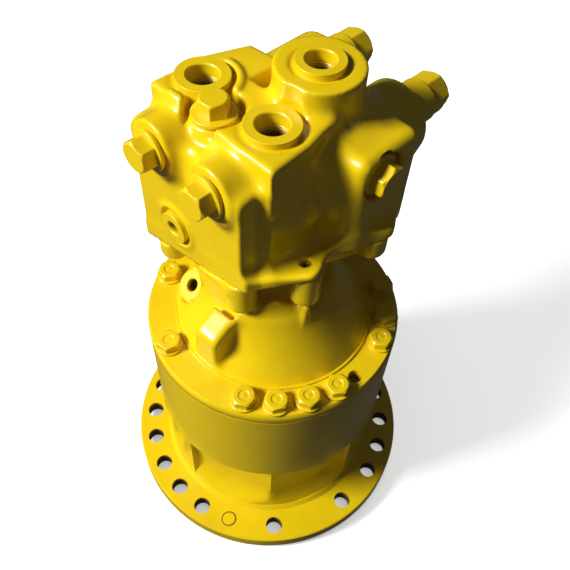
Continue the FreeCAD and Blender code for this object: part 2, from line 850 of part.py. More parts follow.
def centre_pin():
    ball = Part.makeSphere(pin_ball_radius, ball_centre)
    stem = cylinder(pin_radius, ball_height, ball_height + barrel_end + valve_plate_thickness / 2)
    collar = cylinder(pin_room_radius - pin_spring_play, ball_height + pin_spring_start - pin_collar_height,
                       ball_height + pin_spring_start)
    return bent(ball.fuse([stem, collar]))


def centre_spring():
    low = ball_height + pin_spring_start + seat_gap
    inner = pin_radius + pin_spring_play
    return bent(tube(inner + pin_spring_wall, inner, low, low + pin_spring_length - 2 * seat_gap))


def piston(index):
    """One piston: its ball sits in the shaft flange, its skirt in the cylinder block."""
    place = ball_places()[index]
    ball = Part.makeSphere(ball_radius, place)
    neck = rod(piston_neck_radius, place, bent_axis, piston_skirt_start + 1)
    skirt = rod(piston_radius, place + bent_axis * piston_skirt_start, bent_axis,
                piston_length - piston_skirt_start)
    return ball.fuse([neck, skirt])


def kidney(middle, half_width, low, high):
    """A curved slot on the bore circle."""
    start = middle - kidney_half_angle
    outer = Part.makeCylinder(bore_circle + half_width, high - low, Vector(0, 0, low), up, 2 * kidney_half_angle)
    inner = cylinder(bore_circle - half_width, low - 1, high + 1)
    slot = outer.cut(inner)
    slot.rotate(Vector(0, 0, 0), up, start)
    return slot


def valve_plate():
    low = ball_height + seat_distance - valve_plate_thickness
    plate = cylinder(valve_plate_radius, low, ball_height + seat_distance - seat_gap)
    slots = [kidney(middle, kidney_half_width, low - 1, ball_height + seat_distance + 1)
             for middle in kidney_middles]
    hole = cylinder(pin_radius + running_gap, low - 1, ball_height + seat_distance + 1)
    return bent(plate.cut(slots + [hole]))


# Valve block

def work_port_places():
    half = work_port_spacing / 2
    return [(work_port_middle - half, work_port_line), (work_port_middle + half, work_port_line)]


def check_places():
    return [check_middle - check_spacing / 2, check_middle + check_spacing / 2]


def relief_places():
    return [relief_middle - relief_spacing / 2, relief_middle + relief_spacing / 2]


def raised_port(x, y, deck, boss_radius):
    """A port face that stands a little above its deck, inside a shallow groove."""
    groove = tube(boss_radius + port_groove_width, boss_radius, deck - port_groove_depth, deck + 1, x, y)
    face = cylinder(boss_radius, deck - port_face_root, deck + port_face_rise, x, y)
    return face, groove


def block_core():
    base = block_back
    low = ball_height
    main = prism([(block_left, front_face), (block_corner_x, front_face), (block_right, front_top_edge),
                  (block_right, base), (block_left, base)], low, shoulder_height)
    main = soft_edges(main, edge_fillet, lambda c, e: is_upright(e) and (c.x < 0 or c.y > 0))
    slope = Part.Face(Part.makePolygon([
        Vector(block_left - 1, front_face - 1, front_shoulder_height),
        Vector(block_left - 1, front_top_edge, front_shoulder_height + front_slope_rise),
        Vector(block_left - 1, front_face - 1, front_shoulder_height + front_slope_cut),
        Vector(block_left - 1, front_face - 1, front_shoulder_height)])).extrude(Vector(far, 0, 0))
    deck = prism([(block_left, front_top_edge), (block_right, front_top_edge),
                  (block_right - deck_corner_inset, deck_back + deck_corner_set),
                  (deck_left_right, deck_back), (deck_left_right, deck_left_back),
                  (block_left + deck_left_inset, deck_left_back - deck_left_drop),
                  (block_left, deck_back - deck_left_set)], shoulder_height - deck_root, deck_height)
    deck = soft_edges(deck, edge_fillet, lambda c, e: is_upright(e) and c.y > 0)
    pocket = prism([(deck_left_right, deck_back), (tank_place[0], deck_back), (tank_place[0], block_back),
                    (deck_left_right, block_back)], shoulder_height - pocket_depth, deck_height)
    return main.cut(slope).fuse(deck).cut(pocket)


def side_pad():
    """The rounded pad on the right that carries the side plug."""
    pad = Part.makeBox(side_pad_face, side_pad_back - side_pad_front, side_pad_top - ball_height,
                       Vector(0, side_pad_front, ball_height))
    return soft_edges(pad, side_pad_corner, lambda c, e: c.z > side_pad_top - 0.1 and c.x > 1
                      and abs(c.y - (side_pad_front + side_pad_back) / 2) > 1)


def valve_block():
    ledge_outline = Part.Face(Part.makePolygon([Vector(x, y, 0) for x, y in lobe_places + lobe_places[:1]]))
    ledge_outline = ledge_outline.makeOffset2D(lobe_radius + ledge_overhang)
    ledge_outline.translate(up * ball_height)
    ledge = ledge_outline.extrude(up * (deck_height - ball_height))
    ledge = ledge.common(bent_slab(seat_distance, seat_distance + ledge_thickness))
    pieces = [ledge, block_core()]
    cuts = [bent_slab(seat_distance - far, seat_distance)]
    front_trim = Part.makeBox(far, far, far, Vector(-far / 2, front_face - far, -far / 2 + seat_distance))
    pieces[0] = pieces[0].cut(front_trim)
    for x, y in work_port_places():
        face, groove = raised_port(x, y, deck_height, port_face_radius)
        pieces.append(face)
        cuts.append(groove)
        cuts.append(cylinder(work_port_radius, deck_height + port_face_rise - work_port_depth, far, x, y))
        cuts.append(cylinder(passage_radius, cross_passage_height, deck_height, x, y))
    tank_x, tank_y = tank_place
    pieces.append(cylinder(tank_boss_radius, shoulder_height - tank_boss_root, tank_boss_height, tank_x, tank_y))
    face, groove = raised_port(tank_x, tank_y, tank_boss_height, tank_face_radius)
    pieces.append(face)
    cuts.append(groove)
    tank_face = tank_boss_height + port_face_rise
    cuts.append(cylinder(tank_port_radius, tank_face - work_port_depth, far, tank_x, tank_y))
    cuts.append(cylinder(passage_radius, tank_boss_height - tank_passage_depth, tank_boss_height,
                         tank_x, tank_y))
    inward = Vector(0, 1, 0)
    for x in check_places():
        start = Vector(x, front_face - check_boss_rise, check_height)
        pieces.append(rod(check_boss_radius, start, inward, check_boss_root))
        cuts.append(rod(check_bore_radius, start - inward, inward, check_bore_depth + 1))
    gauge = Vector(gauge_port_x, front_face - gauge_boss_rise, gauge_port_z)
    pieces.append(rod(gauge_boss_radius, gauge, inward, gauge_boss_root))
    cuts.append(rod(gauge_port_radius, gauge - inward, inward, gauge_port_depth + 1))
    plug_x, plug_y = top_plug_place
    pieces.append(cylinder(top_boss_radius, front_shoulder_height - top_boss_root, top_plug_height,
                           plug_x, plug_y))
    cuts.append(cylinder(top_boss_radius, top_plug_height, far, plug_x, plug_y))
    stem_room = top_plug_height - plug_stem - top_plug_tip_room
    cuts.append(cylinder(top_plug_stem_radius, stem_room, far, plug_x, plug_y))
    outward = Vector(1, 0, 0)
    side = Vector(0, side_plug_y, side_plug_z)
    pieces.append(side_pad())
    cuts.append(rod(side_plug_room_radius, side + outward * side_plug_seat, outward, far))
    cuts.append(rod(shuttle_bore_radius, side + outward * shuttle_bore_end, outward, far))
    for x in relief_places():
        start = Vector(x, 0, relief_height)
        pieces.append(rod(relief_boss_radius, start, inward, relief_boss_end))
        cuts.append(rod(relief_bore_radius, start + inward * relief_bore_start, inward, far))
        cuts.append(rod(relief_sleeve_radius - relief_seat_width, start + inward * work_port_line, inward,
                        relief_bore_start))
    web_left, web_right = relief_places()
    web_width = web_right - web_left + 2 * relief_web_overhang
    web_depth = relief_boss_end - relief_web_setback - deck_back
    pieces.append(Part.makeBox(web_width, web_depth, relief_height - relief_web_low,
                               Vector(web_left - relief_web_overhang, deck_back, relief_web_low)))
    for index in screw_lobes:
        cuts.append(block_screw_hole(index, block_screw_radius + bolt_gap / 2))
        top = seat_point(index) + bent_axis * (ledge_thickness - block_screw_head)
        cuts.append(rod(block_screw_head_radius + block_screw_head_play, top, bent_axis, block_screw_pocket))
    cuts += [dowel(index, dowel_radius + seat_gap, dowel_length + 1) for index in dowel_lobes]
    seat = ball_height + seat_distance
    cuts += [bent(kidney(middle, kidney_half_width, seat - 1, seat + kidney_depth)) for middle in kidney_middles]
    return pieces[0].fuse(pieces[1:]).cut(cuts)


# Plugs and valves that screw into the block

def hex_plug(face, outward, stem_radius):
    """A collared hexagon plug with its stem, seated on a sealing ring."""
    collar_base = face + outward * plug_seal_thickness
    stem = rod(stem_radius - seat_gap, face - outward * plug_stem, outward, plug_stem + plug_seal_thickness + 1)
    collar = rod(plug_collar_radius, collar_base, outward, plug_collar_thickness)
    collar = collar.makeChamfer(plug_collar_edge, collar.Edges[:1])
    head_base = collar_base + outward * plug_collar_thickness
    head = hexagon(plug_flats, head_base - outward * plug_head_root, outward, plug_head + plug_head_root)
    return stem.fuse([collar, head])


def plug_ring(face, outward, stem_radius):
    ring = rod(plug_collar_radius - plug_ring_inset, face, outward, plug_seal_thickness - seat_gap)
    return ring.cut(rod(stem_radius + plug_ring_play, face - outward, outward, plug_seal_thickness + 2))


def check_face(x):
    return Vector(x, front_face - check_boss_rise, check_height)


def top_plug_face():
    return Vector(top_plug_place[0], top_plug_place[1], top_plug_height)


def side_plug_face():
    return Vector(side_plug_seat, side_plug_y, side_plug_z)


def plug_rings():
    rings = [plug_ring(check_face(x), Vector(0, -1, 0), check_bore_radius) for x in check_places()]
    rings.append(plug_ring(top_plug_face(), up, top_plug_stem_radius))
    rings.append(plug_ring(side_plug_face(), Vector(1, 0, 0), shuttle_bore_radius))
    return group(rings)


def check_poppet(x):
    """A poppet that lets oil in from the make-up line; it lifts towards its plug."""
    seat = check_face(x) + Vector(0, check_bore_depth - seat_gap, 0)
    way = Vector(0, -1, 0)
    body = rod(poppet_radius, seat + way * check_nose_length, way, check_poppet_length - check_nose_length)
    nose = Part.makeCone(poppet_radius - check_nose_length, poppet_radius, check_nose_length, seat, way)
    return body.fuse(nose)


def check_spring(x):
    start = check_face(x) + Vector(0, check_bore_depth - check_poppet_length - seat_gap * 2, 0)
    length = check_bore_depth - check_poppet_length - plug_stem - seat_gap * 4
    way = Vector(0, -1, 0)
    return rod(poppet_radius - poppet_spring_inset, start, way, length).cut(
        rod(poppet_radius - poppet_spring_inset - poppet_spring_wall, start - way, way, length + 2))


def relief_body(x):
    """A screwed-in relief cartridge: sleeve, body and hexagon."""
    way = Vector(0, 1, 0)
    face = Vector(x, relief_boss_end, relief_height)
    sleeve_start = Vector(x, relief_bore_start + seat_gap, relief_height)
    sleeve = rod(relief_bore_radius - seat_gap, sleeve_start, way, relief_boss_end - relief_bore_start)
    body = rod(relief_body_radius, face + way * seat_gap, way, relief_body_length)
    rim = [edge for edge in body.Edges if edge.CenterOfMass.y > face.y + relief_body_length - running_gap]
    body = body.makeChamfer(relief_body_edge, rim)
    head = hexagon(relief_flats, face + way * (relief_body_length - 1), way, relief_hex_length + 1)
    end_start = face + way * (relief_body_length + relief_hex_length - 1)
    end = rod(relief_flats / 2 - relief_end_inset, end_start, way, relief_end_length)
    room = rod(relief_sleeve_radius, sleeve_start - way, way, relief_boss_end - relief_bore_start)
    return sleeve.fuse([body, head, end]).cut(room)


def relief_poppet(x):
    way = Vector(0, 1, 0)
    start = Vector(x, relief_bore_start + seat_gap * 2, relief_height)
    radius = relief_sleeve_radius - running_gap
    body = rod(radius, start + way * relief_nose_length, way, relief_poppet_length - relief_nose_length)
    return body.fuse(Part.makeCone(radius - relief_nose_length, radius, relief_nose_length, start, way))


def relief_spring(x):
    way = Vector(0, 1, 0)
    start = Vector(x, relief_bore_start + relief_poppet_length + seat_gap * 3, relief_height)
    length = relief_boss_end - relief_bore_start - relief_poppet_length - relief_spring_room - seat_gap * 4
    outer = relief_sleeve_radius - relief_spring_play
    return rod(outer, start, way, length).cut(rod(outer - relief_spring_wall, start - way, way, length + 2))


def shuttle_poppet():
    way = Vector(1, 0, 0)
    start = Vector(shuttle_bore_end + seat_gap, side_plug_y, side_plug_z)
    return rod(shuttle_poppet_radius, start, way, shuttle_poppet_length)


def shuttle_spring():
    way = Vector(1, 0, 0)
    start = Vector(shuttle_bore_end + shuttle_poppet_length + seat_gap * 2, side_plug_y, side_plug_z)
    length = side_plug_seat - plug_stem - shuttle_bore_end - shuttle_poppet_length - seat_gap * 4
    return rod(shuttle_poppet_radius - shuttle_spring_play, start, way, length).cut(
        rod(shuttle_poppet_radius - shuttle_spring_play - shuttle_spring_wall, start - way, way, length + 2))


def all_nodes():
    """Every node with its solid or group of solids."""
    lower = bearing(shaft_body_radius, lower_roller_radius, lower_bearing_bottom)
    upper = bearing(upper_land_radius, upper_roller_radius, upper_bearing_bottom)
    nodes = {
        "lower_case": lower_case(),
        "flange_blank_plug": blank_plug(),
        "motor_housing": motor_housing(),
        "dowel_pins": dowel_pins(),
        "ring_bolts": ring_bolts(),
        "ring_washers": ring_washers(),
        "register_seal": register_seal(),
        "block_seal": block_seal(),
        "valve_block": valve_block(),
        "block_screws": block_screws(),
        "plug_rings": plug_rings(),
        "top_plug": hex_plug(top_plug_face(), up, top_plug_stem_radius),
        "side_plug": hex_plug(side_plug_face(), Vector(1, 0, 0), shuttle_bore_radius),
        "shuttle_poppet": shuttle_poppet(),
        "shuttle_spring": shuttle_spring(),
        "drive_shaft": drive_shaft(),
        "ball_keeper": ball_keeper(),
        "lower_inner_race": lower[0],
        "lower_rollers": lower[1],
        "lower_outer_race": lower[2],
        "upper_inner_race": upper[0],
        "upper_rollers": upper[1],
        "upper_outer_race": upper[2],
        "shaft_seal": shaft_seal(),
        "seal_retainer": seal_retainer(),
        "bearing_spacer": bearing_spacer(),
        "friction_discs": friction_discs(),
        "steel_plates": steel_plates(),
        "brake_piston": brake_piston(),
        "brake_packings": brake_packings(),
        "brake_springs": brake_springs(),
        "cylinder_block": cylinder_block(),
        "centre_pin": centre_pin(),
        "centre_spring": centre_spring(),
        "valve_plate": valve_plate(),
    }
    for side, x in zip(("a", "b"), check_places()):
        nodes["check_plug_" + side] = hex_plug(check_face(x), Vector(0, -1, 0), check_bore_radius)
        nodes["check_poppet_" + side] = check_poppet(x)
        nodes["check_spring_" + side] = check_spring(x)
    for side, x in zip(("a", "b"), relief_places()):
        nodes["relief_body_" + side] = relief_body(x)
        nodes["relief_poppet_" + side] = relief_poppet(x)
        nodes["relief_spring_" + side] = relief_spring(x)
    for index in range(piston_count):
        nodes["piston_%d" % (index + 1)] = piston(index)
    return nodes


os.makedirs("parts", exist_ok=True)
for name, shape in all_nodes().items():
    shape.exportStep("parts/" + name + ".step")
    print(name, "solids", len(shape.Solids), "volume", round(shape.Volume / 1000, 2), "valid", shape.isValid())
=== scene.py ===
# %% [markdown]
# # A painted swing motor
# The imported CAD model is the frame: its nodes carry every true size and every joint.
# This script only dresses it. The castings get the soft corners that sand moulds leave,
# the ports get threads, the screws get their chamfers, and everything gets its finish.

# %% Load the frame
import bmesh
import bpy
import json
import math
import numpy as np
from mathutils import Matrix, Vector


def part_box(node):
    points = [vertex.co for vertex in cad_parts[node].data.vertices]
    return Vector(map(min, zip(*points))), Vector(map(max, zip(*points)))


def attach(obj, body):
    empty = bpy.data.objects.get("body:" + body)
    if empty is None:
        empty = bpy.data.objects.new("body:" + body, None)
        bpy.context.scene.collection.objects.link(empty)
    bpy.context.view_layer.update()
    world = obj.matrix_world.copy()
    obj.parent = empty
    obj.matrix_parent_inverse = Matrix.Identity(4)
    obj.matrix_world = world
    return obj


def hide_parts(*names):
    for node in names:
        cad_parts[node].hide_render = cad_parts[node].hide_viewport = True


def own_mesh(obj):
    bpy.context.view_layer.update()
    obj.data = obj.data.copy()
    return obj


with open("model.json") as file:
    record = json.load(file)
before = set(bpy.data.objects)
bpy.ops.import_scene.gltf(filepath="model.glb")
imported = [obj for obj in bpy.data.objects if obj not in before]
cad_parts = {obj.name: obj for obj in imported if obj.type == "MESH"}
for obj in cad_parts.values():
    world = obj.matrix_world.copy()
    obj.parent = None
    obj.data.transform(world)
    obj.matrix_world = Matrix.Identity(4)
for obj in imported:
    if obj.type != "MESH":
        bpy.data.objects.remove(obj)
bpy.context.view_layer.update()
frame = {"nodes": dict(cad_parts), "record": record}

# %% [markdown]
# ## The camera's place
# The camera stood in front of the motor's left ports and looked down on it steeply, with
# the head turned a little. Three angles and one place say that completely.

# %% Camera
camera = bpy.data.objects.new("camera", bpy.data.cameras.new("camera"))
bpy.context.scene.collection.objects.link(camera)
camera.data.sensor_width = 36.0
camera.data.lens = 43.51
camera.data.clip_end = 20.0
walk_round, look_down, head_tilt = math.radians(42.346), math.radians(53.151), math.radians(3.996)
camera.matrix_world = (Matrix.Translation((0.25643, -0.26770, 0.76655)) @ Matrix.Rotation(walk_round, 4, "Z")
                       @ Matrix.Rotation(math.pi / 2 - look_down, 4, "X") @ Matrix.Rotation(head_tilt, 4, "Z"))
bpy.context.scene.camera = camera
print("camera", tuple(round(v, 3) for v in camera.matrix_world.translation))

# %% [markdown]
# ## Floor and light
# The motor stands on a pale floor. One large lamp stands far off to the left of the
# camera, about forty degrees up, so the left of every casting is bright and the right
# falls into deep shade, as in the picture. The floor could be lit by the same lamp alone,
# but then the motor's shadow would be dark and its white would fill the shade on the
# motor. So the floor has a lamp of its own and throws nothing back.

# %% Floor
MM = 0.001
FLOOR_HALF, FLOOR_DROP = 6.0, 0.0002
floor_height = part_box("lower_case")[0][2]


def flat_floor(half, height):
    """A square at one height: corner (i, j) sits at plus or minus half."""
    mesh = bpy.data.meshes.new("floor")
    mesh.from_pydata([(x * half, y * half, height) for x, y in ((-1, -1), (1, -1), (1, 1), (-1, 1))], [],
                     [(0, 1, 2, 3)])
    piece = bpy.data.objects.new("floor", mesh)
    bpy.context.scene.collection.objects.link(piece)
    return piece


floor = flat_floor(FLOOR_HALF, floor_height - FLOOR_DROP)
print("floor at", round(floor_height, 4))


# %% Lamps
def lamp(name, place, aim, size, power, colour=(1, 1, 1)):
    """A square area lamp at a place, turned to face a point."""
    data = bpy.data.lights.new(name, "AREA")
    data.size, data.energy, data.color = size, power, colour
    holder = bpy.data.objects.new(name, data)
    bpy.context.scene.collection.objects.link(holder)
    way = Vector(aim) - Vector(place)
    holder.matrix_world = Matrix.Translation(place) @ way.to_track_quat("-Z", "Y").to_matrix().to_4x4()
    return holder


MIDDLE = (0.0, 0.0, 0.25)
ROOM_LIGHT = 0.056
lamp("key", (-1.08, -2.04, 2.12), MIDDLE, 0.76, 134.0, (1.0, 0.99, 0.95))
floor_lamp = lamp("floor_lamp", (0.0, 0.2, 2.2), (0.0, 0.2, 0.0), 1.6, 26.0)
floor_only = bpy.data.collections.new("lit_by_the_floor_lamp")
floor_only.objects.link(floor)
floor_lamp.light_linking.receiver_collection = floor_only
floor.visible_diffuse = False
floor.visible_glossy = False
world = bpy.data.worlds.new("studio")
bpy.context.scene.world = world
world.use_nodes = True
room = world.node_tree.nodes["Background"].inputs
room["Color"].default_value = (1.0, 1.0, 1.0, 1.0)
room["Strength"].default_value = ROOM_LIGHT
bpy.context.scene.view_settings.view_transform = "Standard"

# %% [markdown]
# ## Writing a finish as a sum
# A material is a small network of nodes. They could be made and linked one call at a
# time, but a finish is easier to read when a socket behaves like a number. So one small
# class wraps a socket, lets +, - and * make the Math nodes, and adds every other node
# through one method.


# %% Sockets that add and multiply
def feed(socket, value):
    """Links a wire to a socket, or sets the socket to a constant."""
    if isinstance(value, Wire):
        value.tree.links.new(value.socket, socket)
    else:
        socket.default_value = value


class Wire:
    """One output socket of a material: it joins in sums, and makes further nodes in the same tree."""

    def __init__(self, tree, socket):
        self.tree, self.socket = tree, socket

    def node(self, kind, settings=(), **values):
        """Makes a node from settings and a value or wire for each socket, by name or number. Returns its outputs."""
        made = self.tree.nodes.new(kind)
        for key, value in dict(settings).items():
            setattr(made, key, value)
        for key, value in values.items():
            name = key.replace("_", " ")
            feed(made.inputs[int(name)] if name.isdigit() else made.inputs[name], value)
        return {output.name: Wire(self.tree, output) for output in made.outputs}

    def math(self, operation, first, second):
        """A Math node on two values or wires."""
        return self.node("ShaderNodeMath", {"operation": operation}, **{"0": first, "1": second})["Value"]

    def vector(self, operation, other, output="Value"):
        """A Vector Math node on this wire and another vector."""
        return self.node("ShaderNodeVectorMath", {"operation": operation}, **{"0": self, "1": other})[output]

    def __add__(self, other):
        return self.math("ADD", self, other)

    def __radd__(self, other):
        return self.math("ADD", other, self)

    def __sub__(self, other):
        return self.math("SUBTRACT", self, other)

    def __rsub__(self, other):
        return self.math("SUBTRACT", other, self)

    def __mul__(self, other):
        return self.math("MULTIPLY", self, other)

    def __rmul__(self, other):
        return self.math("MULTIPLY", other, self)


def fresh(name):
    """An empty material with its shader: returns material, shader and the object coordinates."""
    material = bpy.data.materials.new(name)
    material.use_nodes = True
    shader = material.node_tree.nodes["Principled BSDF"]
    coordinates = material.node_tree.nodes.new("ShaderNodeTexCoord")
    return material, shader, Wire(material.node_tree, coordinates.outputs["Object"])


def noise(place, size, detail=3.0, roughness=0.5):
    """Soft random values from 0 to 1 whose blobs are about size millimetres across."""
    return place.node("ShaderNodeTexNoise", Vector=place, Scale=1.0 / (size * MM), Detail=detail,
                      Roughness=roughness)["Fac"]


def band(value, low, high):
    """0 below low, 1 above high, a smooth step between."""
    return value.node("ShaderNodeMapRange", {"interpolation_type": "SMOOTHSTEP"}, Value=value,
                      From_Min=low, From_Max=high)["Result"]


def between(value, low, high, soft):
    """1 between low and high, 0 outside, a smooth step of width soft at each end."""
    return band(value, low, low + soft) * (1.0 - band(value, high - soft, high))


def mixed(share, first, second):
    """Colour between two colours; a Mix node's sockets 0, 6 and 7 are its factor and its two colours."""
    made = share.tree.nodes.new("ShaderNodeMix")
    made.data_type = "RGBA"
    feed(made.inputs[0], share)
    for number, colour in ((6, first), (7, second)):
        feed(made.inputs[number], colour if isinstance(colour, Wire) else tuple(colour) + (1.0,))
    return Wire(share.tree, made.outputs[2])


def bumped(height, distance):
    """Bends the surface's normal by a height from 0 to 1, which stands for a distance in mm."""
    return height.node("ShaderNodeBump", Height=height, Distance=distance * MM, Strength=1.0)["Normal"]


def finish_with(shader, **wires):
    """Links wires to the shader's sockets, or sets constants."""
    for key, value in wires.items():
        feed(shader.inputs[key.replace("_", " ")], value)


print("wires ready")

# %% [markdown]
# ## The yellow paint
# The whole motor was sprayed after assembly, so screws, plugs and castings share one
# paint. It is a warm chrome yellow with a high gloss. Over rough cast iron it shows a slow
# waviness and fine pits; over turned faces it lies flatter and looks a little duller. Inside
# a hole its colour turns dark brown with depth: partly bare metal the paint didn't reach,
# partly painted shade. So each mesh with holes carries a number per corner, named bore,
# that says how deep in one it lies. On the flange the frame's own mesh stays as it is, and
# its hole walls and the painted shade in a thin ring round the blanking plug are found by
# height and radius instead.


# %% Paint
BLANK_PLUG, PLUG_EDGE = (0.0621, -0.1179, 0.0), (0.0064, 0.0084)
FLANGE_WALLS, FLANGE_TOP, RIM_EDGE = (0.0120, 0.0165), (0.0160, 0.0168), (0.1455, 0.1475)
# The centre of a darker grey patch on the port block, in metres.
GREY_PATCH_CENTRE = (0.017, 0.043, 0.440)
WARM, DEEP, STAIN = (0.84, 0.61, 0.004), (0.76, 0.52, 0.003), (0.60, 0.40, 0.004)
# The second colour here is the dark brown inside holes: partly bare metal, partly painted shade.
PATCH_GREY, DARK_BARE_AND_SHADE = (0.33, 0.26, 0.13), (0.10, 0.062, 0.012)
COAT = 0.35


def flange_shade(place):
    """Painted shade with bare metal: 1 on the walls of the flange holes, and painted shade on a thin ring round the
    blanking plug.
    """
    height = place.node("ShaderNodeSeparateXYZ", Vector=place)["Z"]
    level = place.vector("MULTIPLY", (1.0, 1.0, 0.0), "Vector")
    radius = level.vector("DISTANCE", (0.0, 0.0, 0.0))
    walls = (1.0 - band(height, *FLANGE_WALLS)) * (1.0 - band(radius, *RIM_EDGE))
    groove = between(level.vector("DISTANCE", BLANK_PLUG), *PLUG_EDGE, 0.0006) * 0.85
    return walls + groove * band(height, *FLANGE_TOP)


def yellow_paint(name, sand, orange_peel, gloss, grey_patch=False, flange=False):
    """Yellow enamel. sand: bump of the casting under it in mm; orange_peel: bump of the spray in mm."""
    material, shader, place = fresh(name)
    wave = noise(place, 26.0, 2.0)
    grit = noise(place, 1.6, 4.0, 0.65)
    peel = noise(place, 2.6, 1.0)
    stain = band(noise(place, 55.0, 4.0, 0.6), 0.55, 0.8)
    colour = mixed(stain * 0.35, mixed(wave, WARM, DEEP), STAIN)
    if grey_patch:
        # A darker grey patch, broken up by noise, on the slope between the deck and the side pad.
        near = 1.0 - band(place.vector("DISTANCE", GREY_PATCH_CENTRE), 0.006, 0.020)
        colour = mixed(near * band(noise(place, 9.0, 4.0, 0.7), 0.38, 0.62), colour, PATCH_GREY)
    # Painted shade with bare metal: inside holes the colour turns dark brown with depth.
    bare_and_shade = place.node("ShaderNodeAttribute", {"attribute_name": "bore"})["Fac"]
    if flange:
        bare_and_shade = bare_and_shade + flange_shade(place)
    bump = bumped(grit * sand + wave * (sand * 2.0) + peel * orange_peel, 1.0)
    finish_with(shader, Base_Color=mixed(bare_and_shade, colour, DARK_BARE_AND_SHADE), Normal=bump, Coat_Roughness=0.12,
                Roughness=grit * 0.10 + stain * 0.12 + bare_and_shade * 0.35 + gloss, Coat_Weight=COAT - bare_and_shade * COAT)
    return material


cast_paint = yellow_paint("cast_paint", 0.16, 0.02, 0.24, grey_patch=True)
case_paint = yellow_paint("case_paint", 0.16, 0.02, 0.24, flange=True)
turned_paint = yellow_paint("turned_paint", 0.03, 0.03, 0.30)
print("paints", cast_paint.name, case_paint.name, turned_paint.name)

# %% [markdown]
# ## Bare metals, rubber and lining
# Inside the case nothing is painted. Ground steel shows fine marks round its axis, bronze
# is warm and dull, springs are blued, seals are black and matt, and the brake lining is a
# brown sintered crust full of pores. Two recipes make them all, one for metals and one for
# matt bodies, because only their numbers differ.


# %% Inner finishes
def ground_metal(name, dark, light, low, high, marks=0.02):
    """Metal with fine tool marks: colour and gloss wander a little between two values."""
    material, shader, place = fresh(name)
    stretched = place.node("ShaderNodeMapping", Vector=place, Scale=(1.0, 1.0, 14.0))["Vector"]
    lines = noise(stretched, 5.0, 3.0, 0.6)
    cloud = noise(place, 18.0, 3.0)
    finish_with(shader, Base_Color=mixed(cloud, dark, light), Metallic=1.0,
                Roughness=lines * (high - low) + low, Normal=bumped(lines, marks))
    return material


def dull_solid(name, dark, light, grain, pits, rough):
    """Rubber or lining: a matt body with grain of a size in mm and pits of a depth in mm."""
    material, shader, place = fresh(name)
    cells = noise(place, grain, 4.0, 0.6)
    finish_with(shader, Base_Color=mixed(cells, dark, light), Roughness=cells * 0.15 + rough,
                Normal=bumped(cells, pits))
    return material


steel = ground_metal("ground_steel", (0.42, 0.43, 0.45), (0.62, 0.63, 0.64), 0.18, 0.38)
iron = ground_metal("bored_iron", (0.16, 0.16, 0.17), (0.27, 0.27, 0.28), 0.35, 0.6, 0.05)
bronze = ground_metal("bearing_bronze", (0.45, 0.27, 0.10), (0.62, 0.42, 0.18), 0.25, 0.45)
blued = ground_metal("blued_spring", (0.05, 0.06, 0.09), (0.12, 0.13, 0.17), 0.25, 0.4)
rubber = dull_solid("seal_rubber", (0.012, 0.012, 0.012), (0.03, 0.03, 0.03), 1.2, 0.02, 0.5)
lining = dull_solid("sintered_lining", (0.14, 0.09, 0.05), (0.26, 0.18, 0.10), 0.9, 0.10, 0.65)
slot_finish = {"yellow_paint": turned_paint, "machined_steel": steel, "cast_iron": iron, "bronze": bronze,
               "rubber": rubber, "spring_steel": blued, "friction_lining": lining}
print("finishes", sorted(slot_finish))


# %% Backdrop
def backdrop_paper():
    """Pale matt paper that glows a little, so that shade on it stays light."""
    material, shader, place = fresh("backdrop_paper")
    finish_with(shader, Base_Color=mixed(noise(place, 5.0), (0.79, 0.79, 0.79), (0.83, 0.83, 0.83)),
                Roughness=0.9, Emission_Color=(1.0, 1.0, 1.0, 1.0), Emission_Strength=0.38)
    return material


floor.data.materials.append(backdrop_paper())
print("floor finish", floor.data.materials[0].name)

# %% [markdown]
# ## Every node gets its finish
# The frame's record names a material slot for each node. The finish could be chosen node
# by node, but the slots already say what each one is made of. Only the castings need a
# paint of their own.

# %% Finish every CAD node
CAST_FINISH = {"motor_housing": cast_paint, "valve_block": cast_paint, "lower_case": case_paint,
               "flange_blank_plug": case_paint}
slot_of = {entry["node"]: entry["material_slot"] for entry in frame["record"]["subparts"]}
for name, node in frame["nodes"].items():
    finish = CAST_FINISH.get(name, slot_finish[slot_of[name]])
    if node.data.materials:
        for index in range(len(node.data.materials)):
            node.data.materials[index] = finish
    else:
        node.data.materials.append(finish)
print("dressed", len(frame["nodes"]), "nodes")

# %% [markdown]
# ## Sizes the castings share
# These are the frame's own numbers, in millimetres, said again because the soft castings
# are worked out here: the bent axis leans sixteen degrees from the shaft, and the port
# block sits on a seat square to it.

# %% Shared sizes
BALL_CENTRE = np.array((0.0, 0.0, 228.0))
BEND = math.radians(16.0)
BENT_AXIS = np.array((-math.sin(BEND), 0.0, math.cos(BEND)))
SEAT_DISTANCE = 103.0
UP, RIGHT, BACK = np.eye(3)[2], np.eye(3)[0], np.eye(3)[1]
LOBES = np.array(((13, -51), (47, -14), (58, 50), (-34, 76), (-78, 60), (-106, 20), (-104, -24), (-74, -50)), float)
SCREW_LOBES = (1, 3, 4, 5, 6)


def seat_height(x):
    """Height of the block's seat above the floor plane at a place x along the ports."""
    return BALL_CENTRE[2] + SEAT_DISTANCE / math.cos(BEND) + x * math.tan(BEND)


def on_seat(lobe):
    """The point of the tilted seat above a lobe."""
    return np.array((lobe[0], lobe[1], seat_height(lobe[0])))


print("seat at x = 0:", round(seat_height(0.0), 1), "mm")

# %% [markdown]
# ## Cast iron as a distance field
# A sand casting has no sharp inside corner: iron flows round every meeting of two bodies.
# Boxes and cylinders with bevels never look like that. So each casting is written as a
# distance field: a formula that says for any point how far it is from the iron, negative
# inside. Joining two bodies with a soft minimum fills the corner with a fillet, and the
# surface is then drawn where the field is zero.


